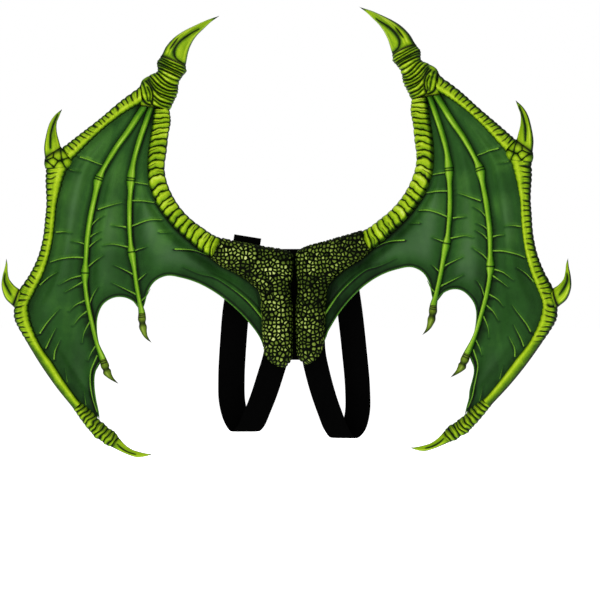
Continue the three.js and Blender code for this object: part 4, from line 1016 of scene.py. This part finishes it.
def dress_membrane(side, plane, height, samples):
    """The membrane's swellings along its veins, and its paint, with painted shade and painted highlights."""
    x, z = plane[..., 0], plane[..., 1]
    distances = [nearest(plane, line)[0] for line in samples]
    digit = DIGIT["width"] * 0.38
    gap = np.min([distances[0], distances[1] - digit, distances[2] - digit, distances[3]], axis=0)
    edges = [Curve(place(side, edge)).along(np.linspace(0, 1, 40)) for edge in SCALLOPS]
    trailing = np.min([nearest(plane, edge)[0] for edge in edges], axis=0)
    tone = 0.36 + 0.07 * smooth(gap, 2, 30) + 0.2 * (grain(x, z, 34, side["seed"]) - 0.5)
    tone = tone + 0.13 * smooth(z, 0, 240) - 0.08 * smooth(-z, 20, 160)
    tone = tone + 0.07 * (grain(x / 2 + z / 9, z / 14, 3.2, side["seed"] + 12) - 0.5)
    # A grey-blue painted highlight in the middles of the panels, stronger higher up, weaker by the veins and the
    # trailing edge.
    haze = 0.7 * smooth(gap, 8, 30) * smooth(grain(x, z, 60, side["seed"] + 1), 0.2, 0.75)
    haze = haze * (0.45 + 0.55 * smooth(z, -120, 120))
    # The membrane beside the pad is painted darker, as painted shade, the right wing's more, and its painted
    # highlight is dimmed there.
    near_pad = 1 - smooth(x, 90, 250)
    tone, haze = tone - 0.12 * near_pad * side["dusk"], haze * (1 - 0.6 * near_pad)
    # Black beside the bones, as painted shade, and a dark line just inside the scallops' lip.
    groove = np.maximum(0.9 * (1 - smooth(gap, 0.6, 4.4)), 0.8 * bump(trailing - 3.2, 1.3))
    for kind, line in VEINS:
        form = VEIN_KINDS[kind]
        distance, share, above = nearest(plane, Curve(place(side, line)).along(np.linspace(0, 1, 14)))
        left = 1 - (1 - form["far"]) * share ** 1.3
        if form["radius"]:
            # Painted shade below each vein and a painted highlight above it.
            shade = bump(distance - 2.0, 1.5) * smooth(-above, -0.4, 0.8) * left
            height = height + 0.35 * bump(distance, 2.6) * left
            lit = bump(distance - 2.4, 2.2) * smooth(above, -0.4, 0.8) * left
            tone = tone - form["dark"] * shade + 0.12 * lit
            haze = haze * (1 - np.clip(bump(distance, 4), 0, 1))
        else:
            height = height - 0.9 * bump(distance, 2.2) * left
            groove = np.maximum(groove, form["dark"] * bump(distance, 1.5) * left)
    # Darker beside the bones, as painted shade, and darker near the trailing edge.
    tone = tone * (0.62 + 0.38 * smooth(gap, 0, 8)) * (0.7 + 0.3 * smooth(trailing, 2, 18))
    haze = haze * smooth(trailing, 6, 30)
    return height, {"tone": np.clip(tone, 0, 1), "haze": haze, "groove": groove}


def make_skin(side, finish, plane, height, fields):
    """The membrane's wall: its front at that height, a back of coarser cells, and the rim between them."""
    x, z = plane[..., 0], plane[..., 1]
    rows, columns = height.shape
    front = to_world(side, x, FRONT - height, z)
    coarse = (slice(None, None, 2), slice(None, None, 2))
    back = to_world(side, x, FRONT - height + SHEET["wall"], z)[coarse]
    back_rows, back_columns = back.shape[:2]
    points = np.vstack([front.reshape(-1, 3), back.reshape(-1, 3)])
    behind = rows * columns
    dark = {"tone": 2 * BACK_TONE, "haze": 0.0, "groove": 0.3}
    fields = {key: np.append(numbers.ravel(), np.full(back_rows * back_columns, dark[key]))
              for key, numbers in fields.items()}
    index = np.arange(behind).reshape(rows, columns)
    hidden = behind + np.arange(back_rows * back_columns).reshape(back_rows, back_columns)
    faces = quads(index) + [face[::-1] for face in quads(hidden)]
    for front_edge, back_edge in ((index[0, :], hidden[0, :]), (index[::-1, 0], hidden[::-1, 0]),
                                  (index[-1, ::-1], hidden[-1, ::-1]), (index[:, -1], hidden[:, -1])):
        faces += [(front_edge[2 * k], back_edge[k], back_edge[k + 1],
                   front_edge[2 * k + 2], front_edge[2 * k + 1]) for k in range(len(back_edge) - 1)]
    faces = [tuple(map(int, face)) for face in faces]
    return make_mesh(f"membrane_{side['name']}", points, faces, finish, fields, 80)


def ridge_tree(material):
    """Sweeps a round ridge along each line of a carrier, as thick as its points say."""
    tree = Tree("ridge_along_lines", **RIDGE)
    line = tree.node("GeometryNodeMeshToCurve", {}, {"Mesh": tree.given("geometry")})
    radius = tree.stored("half") * tree.given("thickness")
    profile = tree.node("GeometryNodeCurvePrimitiveCircle", {},
                        {"Resolution": tree.given("sides"), "Radius": 1.0})
    sweep = {"Curve": line, "Profile Curve": profile, "Scale": radius, "Fill Caps": True}
    body = tree.node("GeometryNodeCurveToMesh", {}, sweep)
    tree.finish(tree.node("GeometryNodeSetShadeSmooth", {}, {0: body}), material)
    return tree


def make_veins(side, finish, plane, height):
    """The veins and the rolled lip of the scallops, as ridges half sunk in the membrane."""
    paths = []
    for kind, line in VEINS:
        form = VEIN_KINDS[kind]
        if form["radius"]:
            share = np.linspace(0, 1, 24)
            left = 1 - (1 - form["far"]) * share ** 1.3
            if kind == "fold":
                left = left * (0.45 + 0.55 * (1 - share) ** 2)
            tone = form["tone"] * (0.4 + 0.6 * left)
            paths.append((Curve(place(side, line)).along(share), form["radius"] * left, tone))
    for edge in SCALLOPS:
        share = np.linspace(0, 1, 60)
        tapered = np.clip(np.minimum(share, 1 - share) / 0.05, 0.25, 1)
        paths.append((Curve(place(side, edge)).along(share), LIP["radius"] * tapered, LIP["tone"] * tapered))
    points, radii, tones, lines = [], [], [], []
    for path, radius, tone in paths:
        near = [np.argsort(np.sum((plane - point) ** 2, axis=1))[:4] for point in path]
        raised = np.array([height[found].mean() for found in near])
        first = len(points)
        points += to_world(side, path[:, 0], FRONT - raised + 0.25 * radius, path[:, 1]).tolist()
        radii += (radius / 1000).tolist()
        tones += tone.tolist()
        lines += [(first + k, first + k + 1) for k in range(len(path) - 1)]
    mesh = bpy.data.meshes.new("vein_lines")
    mesh.from_pydata(points, lines, [])
    for key, numbers in (("half", radii), ("tone", tones)):
        mesh.attributes.new(key, "FLOAT", "POINT").data.foreach_set("value", np.asarray(numbers, np.float32))
    return ridge_tree(finish).grow(show("vein_lines", mesh), f"membrane_veins_{side['name']}", **RIDGE)


def pebble_tree(material):
    """Raises a pebble in each cell of a skin laid out flat in the field named chart, in millimetres."""
    tree = Tree("pebbled_skin", pitch=PEBBLE["pitch"], rise=PEBBLE["rise"], gap=PEBBLE["gap"],
                shoulder=PEBBLE["shoulder"], seed=1)
    seed = tree.given("seed")
    shift = tree.node("ShaderNodeCombineXYZ", {}, {"X": seed * PEBBLE_SHIFT[0], "Y": seed * PEBBLE_SHIFT[1]})
    small = tree.node("ShaderNodeMath", {"operation": "DIVIDE"}, {0: 1.0, 1: tree.given("pitch")})
    scaled = tree.node("ShaderNodeVectorMath", {"operation": "SCALE"},
                       {"Vector": tree.stored("chart", "FLOAT_VECTOR"), "Scale": small})
    cell = tree.node("ShaderNodeVectorMath", {"operation": "ADD"}, {0: scaled, 1: shift})
    kept = tree.node("GeometryNodeStoreNamedAttribute", {"data_type": "FLOAT_VECTOR", "domain": "POINT"},
                     {"Geometry": tree.given("geometry"), "Name": "cell", "Value": cell})
    inside = tree.pebble(tree.stored("cell", "FLOAT_VECTOR"))
    crown = tree.crown(inside, tree.given("gap"), tree.given("shoulder"))
    lift = crown * tree.stored("free") * tree.given("rise") * 0.001
    offset = tree.node("ShaderNodeVectorMath", {"operation": "SCALE"},
                       {"Vector": tree.node("GeometryNodeInputNormal"), "Scale": lift})
    raised = tree.node("GeometryNodeSetPosition", {}, {"Geometry": kept, "Offset": offset})
    tree.finish(raised, material)
    return tree


def rounded(left, radius):
    """The height of a round end, from 0 to 1, that far from it."""
    return np.sqrt(np.clip(1 - (1 - np.clip(left / radius, 0, 1)) ** 2, 0, 1))


def make_pad(side, finish):
    """A crowned pad with creases, rounded off at its lower end, under a skin of pebbles."""
    grid = Relief(side, edges_of(side, ARM_AND_PAD, RISES["pad"]), PAD_FROM, len(ARM_AND_PAD) - 1,
                  CELLS["pad"], fullness=0.55, reach=(0.5, 4))
    left = grid.length[-1] - grid.length
    groove = grooves(side, grid.plane, PAD_CREASES, 2.4, 0.3)
    crown = (grid.rise - RELIEF["rim"]) * grid.arch * rounded(left, PAD_ROUNDED)
    height = RELIEF["rim"] + crown - GROOVE_DEPTHS["pad"] * groove * grid.arch
    patches = smooth(grid.grain(26, 14), 0.2, 0.55)
    middle = bump(grid.s - 0.5, 0.34)
    # The right pad's pebbles are painted darker than the left's by the side's own number, as painted shade.
    tone = side["pebbles"] * (0.66 + 0.34 * middle) * (0.72 + 0.28 * patches) * (1 - 0.75 * groove)
    tone = tone * (0.55 + 0.45 * smooth(grid.s, 0.0, 0.14)) * (0.75 + 0.25 * smooth(grid.length, 0, 8))
    free = smooth(grid.arch, 0.0, 0.2) * smooth(left, 0, 6)
    fields = {"tone": tone, "free": free, "chart": grid.chart(height)}
    spread = -0.35 * (1 - rounded(left + 2, 13))
    base = grid.body("root_pad", finish, height, fields, spread, sharp=90)
    return pebble_tree(finish).grow(base, base.name, seed=side["seed"])


def strap_line(side):
    """The middle of a strap's route. Its loop stands out behind by the bulge."""
    behind = SHEET_BACK + RELIEF["clearance"] + STRAP["wall"] / 2
    rows = []
    for out, up, tuck, back, end in STRAP_PATH:
        seat = behind + (FRONT + STRAP["wall"] / 2 - behind) * tuck / 100
        x = out / 100 * WING["reach"] - math.sqrt(back / 100) * side["inward"]
        z = up / 100 * WING["height"] - back / 100 * side["drop"] - end / 100 * side["end"]
        rows.append((x, seat + back / 100 * STRAP["bulge"], z))
    return Curve(rows)


def make_strap(side, finish):
    """An elastic strap, thinner at its edges, and its length."""
    line = strap_line(side)
    share = np.linspace(0, 1, STRAP_CELLS["along"])
    middle, along = line.along(share), line.direction(share)
    through = np.cross(along, (1, 0, 0))
    through /= np.linalg.norm(through, axis=1, keepdims=True)
    across = np.linspace(-1, 1, STRAP_CELLS["across"])
    tilt = math.tan(math.radians(side["slant"])) * (1 - smooth(share, 0.02, 0.09))
    rings = []
    for face in (1, -1):
        for w in across[::face]:
            aside = w * STRAP["width"] / 2
            thick = face * (1 - 0.5 * abs(w) ** 6) * STRAP["wall"] / 2
            point = middle + np.array([aside, 0, 0]) + through * thick
            rings.append(to_world(side, point[:, 0], point[:, 1], point[:, 2] + aside * tilt))
    rings = np.stack(rings, axis=1)
    index = np.arange(rings.shape[0] * rings.shape[1]).reshape(rings.shape[:2])
    faces = quads(np.hstack([index, index[:, :1]]))
    faces += [tuple(index[0, ::-1].tolist()), tuple(index[-1].tolist())]
    return make_mesh(f"strap_{side['name']}", rings.reshape(-1, 3), faces, finish, None, 60), line.lengths[-1]


def make_panel(finish):
    """The cloth panel: a narrow flat middle, and a flap against the back of each pad. Also its cut area."""
    ups, halves = np.array(PANEL_ROWS, float).T
    z = np.linspace(ups[0], ups[-1], PANEL_CELLS["up"])
    reach = np.interp(-z, -ups, halves) / 100 * PANEL["half_width"]
    z = z / 100 * WING["height"]
    area = np.sum((reach[1:] + reach[:-1]) * -np.diff(z)) / 1e6
    flap = HINGE + (reach[:, None] - HINGE) * np.linspace(1, 0, PANEL_CELLS["flap"], endpoint=False)[None, :]
    inner = np.linspace(-HINGE, HINGE, PANEL_CELLS["middle"])[None, :]
    seat = {"sweep": SIDES[0]["sweep"], "apart": 0, "lift": 0}
    layers = []
    for y in (FRONT, 0.0):
        left, right = (to_world({**seat, "mirror": mirror}, flap, y, z[:, None]) for mirror in (-1, 1))
        middle = np.stack(np.broadcast_arrays(inner, y, z[:, None]), axis=-1) / 1000
        layers.append(np.concatenate([left, middle, right[:, ::-1]], axis=1))
    rings = np.concatenate([layers[0], layers[1][:, ::-1]], axis=1)
    index = np.arange(rings.shape[0] * rings.shape[1]).reshape(rings.shape[:2])
    faces = quads(np.hstack([index, index[:, :1]]))
    half = rings.shape[1] // 2
    for row, order in ((index[0], 1), (index[-1], -1)):
        faces += [face[::order] for face in quads(np.stack([row[:half], row[half:][::-1]]))]
    return make_mesh("centre_panel", rings.reshape(-1, 3), faces, finish, None, 60), area


def add_weave(made, ring_width):
    """A UV map in metres along and across, so that the weave follows the piece."""
    mesh = made.data
    layer = mesh.uv_layers.new(name="weave")
    corners = np.zeros(len(mesh.loops), np.int32)
    mesh.loops.foreach_get("vertex_index", corners)
    points = np.zeros(len(mesh.vertices) * 3)
    mesh.vertices.foreach_get("co", points)
    points = points.reshape(-1, 3)
    if ring_width:
        ring = np.arange(len(points)) // ring_width
        centre = points.reshape(-1, ring_width, 3).mean(axis=1)
        along = np.concatenate([[0], np.cumsum(np.linalg.norm(np.diff(centre, axis=0), axis=1))])[ring]
        uv = np.stack([points[:, 0] - centre[ring, 0], along], axis=-1)
    else:
        uv = points[:, [0, 2]]
    layer.data.foreach_set("uv", uv[corners].astype(np.float32).ravel())


# Scene

def make_camera():
    data = bpy.data.cameras.new("camera")
    data.sensor_width = SENSOR
    data.lens = SENSOR * VIEW["distance"] / VIEW["width"]
    data.clip_end = VIEW["far"]
    camera = show("camera", data)
    azimuth, elevation = math.radians(VIEW["azimuth"]), math.radians(VIEW["elevation"])
    back = Vector((math.sin(azimuth) * math.cos(elevation), -math.cos(azimuth) * math.cos(elevation),
                   math.sin(elevation)))
    camera.location = Vector(VIEW["centre"]) + back * VIEW["distance"]
    look_along(camera, -back)
    bpy.context.scene.camera = camera


def look_along(made, way):
    made.rotation_mode = "QUATERNION"
    made.rotation_quaternion = way.to_track_quat("-Z", "Y")


def make_light(name, where, size, power):
    data = bpy.data.lights.new(name, "AREA")
    data.shape, data.size, data.energy = "DISK", size, power
    light = show(name, data)
    light.location = where
    look_along(light, Vector(LIT) - Vector(where))


def make_floor():
    """A pale floor that glows enough to be white wherever it is seen."""
    half = FLOOR["half_width"]
    corners = [(x * half, y * half, FLOOR["level"]) for x, y in ((-1, -1), (1, -1), (1, 1), (-1, 1))]
    mesh = bpy.data.meshes.new("floor")
    mesh.from_pydata(corners, [], [(0, 1, 2, 3)])
    glow = {"emission_color": colour_of(WHITE), "emission_strength": FLOOR["glow"]}
    mesh.materials.append(Finish("floor").set(base_color=colour_of(PALE), roughness=0.9, **glow))
    show("floor", mesh)


def make_world():
    """White all round to the eye, and a softer light for the part."""
    world = bpy.data.worlds.new("world")
    bpy.context.scene.world = world
    world.use_nodes = True
    graph = Graph(world.node_tree)
    seen = graph.node("ShaderNodeLightPath", output="Is Camera Ray")
    sky = world.node_tree.nodes["Background"].inputs
    graph.feed(sky["Color"], colour_of(WHITE))
    graph.feed(sky["Strength"], seen * (1 - WORLD_LIGHT) + WORLD_LIGHT)


def wear(made):
    """Puts a piece on the part's one body, in place of its plain solid."""
    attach(made, "root")
    node = made.name.removesuffix(DRESSED)
    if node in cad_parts:
        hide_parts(node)


def wear_wing(side):
    membrane, plane, raised = make_membrane(side, sheet)
    wear(membrane)
    wear(make_veins(side, vein, plane, raised))
    for make in (make_arm, make_cuff, make_knuckle, make_tip_knuckles):
        wear(make(side, ridge))
    for form in FINGERS:
        wear(make_finger(side, ridge, **form))
    for form in CLAWS:
        wear(make_claw(side, claw, **form))
    for form in DIGITS:
        wear(make_digit(side, bone, **form))
        wear(make_small_claw(side, small_claw, form["name"], form["rows"], form["claw_from"]))


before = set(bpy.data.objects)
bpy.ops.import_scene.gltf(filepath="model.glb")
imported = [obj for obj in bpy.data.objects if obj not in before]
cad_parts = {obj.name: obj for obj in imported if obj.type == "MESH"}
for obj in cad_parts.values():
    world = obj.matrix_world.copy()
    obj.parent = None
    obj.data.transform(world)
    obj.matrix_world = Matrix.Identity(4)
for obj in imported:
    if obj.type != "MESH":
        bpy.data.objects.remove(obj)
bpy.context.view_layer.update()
make_camera()
make_floor()
for name, light in LIGHTS.items():
    make_light(name, *light)
make_world()
bpy.context.scene.view_settings.view_transform = "Standard"

ridge = paint("ridge_paint", LIME_STOPS)
claw = paint("claw_paint", LIME_STOPS, mottle=0.08, speckle=0.07, roughness=0.34, grip=0.15)
bone = paint("bone_paint", BONE_STOPS, mottle=0.1, speckle=0.08)
small_claw = paint("small_claw_paint", SMALL_CLAW_STOPS, mottle=0.1, speckle=0.1)
vein = paint("vein_paint", VEIN_STOPS, mottle=0.12, speckle=0.1)
scale = pebbled("scale_paint")
sheet = membrane_paint()
cloth = woven("panel_cloth", **CLOTH)
elastic = woven("strap_elastic", **ELASTIC)

for side in SIDES:
    wear_wing(side)
    pad = make_pad(side, scale)
    wear(pad)
    strap, strap_length = make_strap(side, elastic)
    add_weave(strap, 2 * STRAP_CELLS["across"])
    wear(strap)

panel, panel_area = make_panel(cloth)
add_weave(panel, 0)
wear(panel)
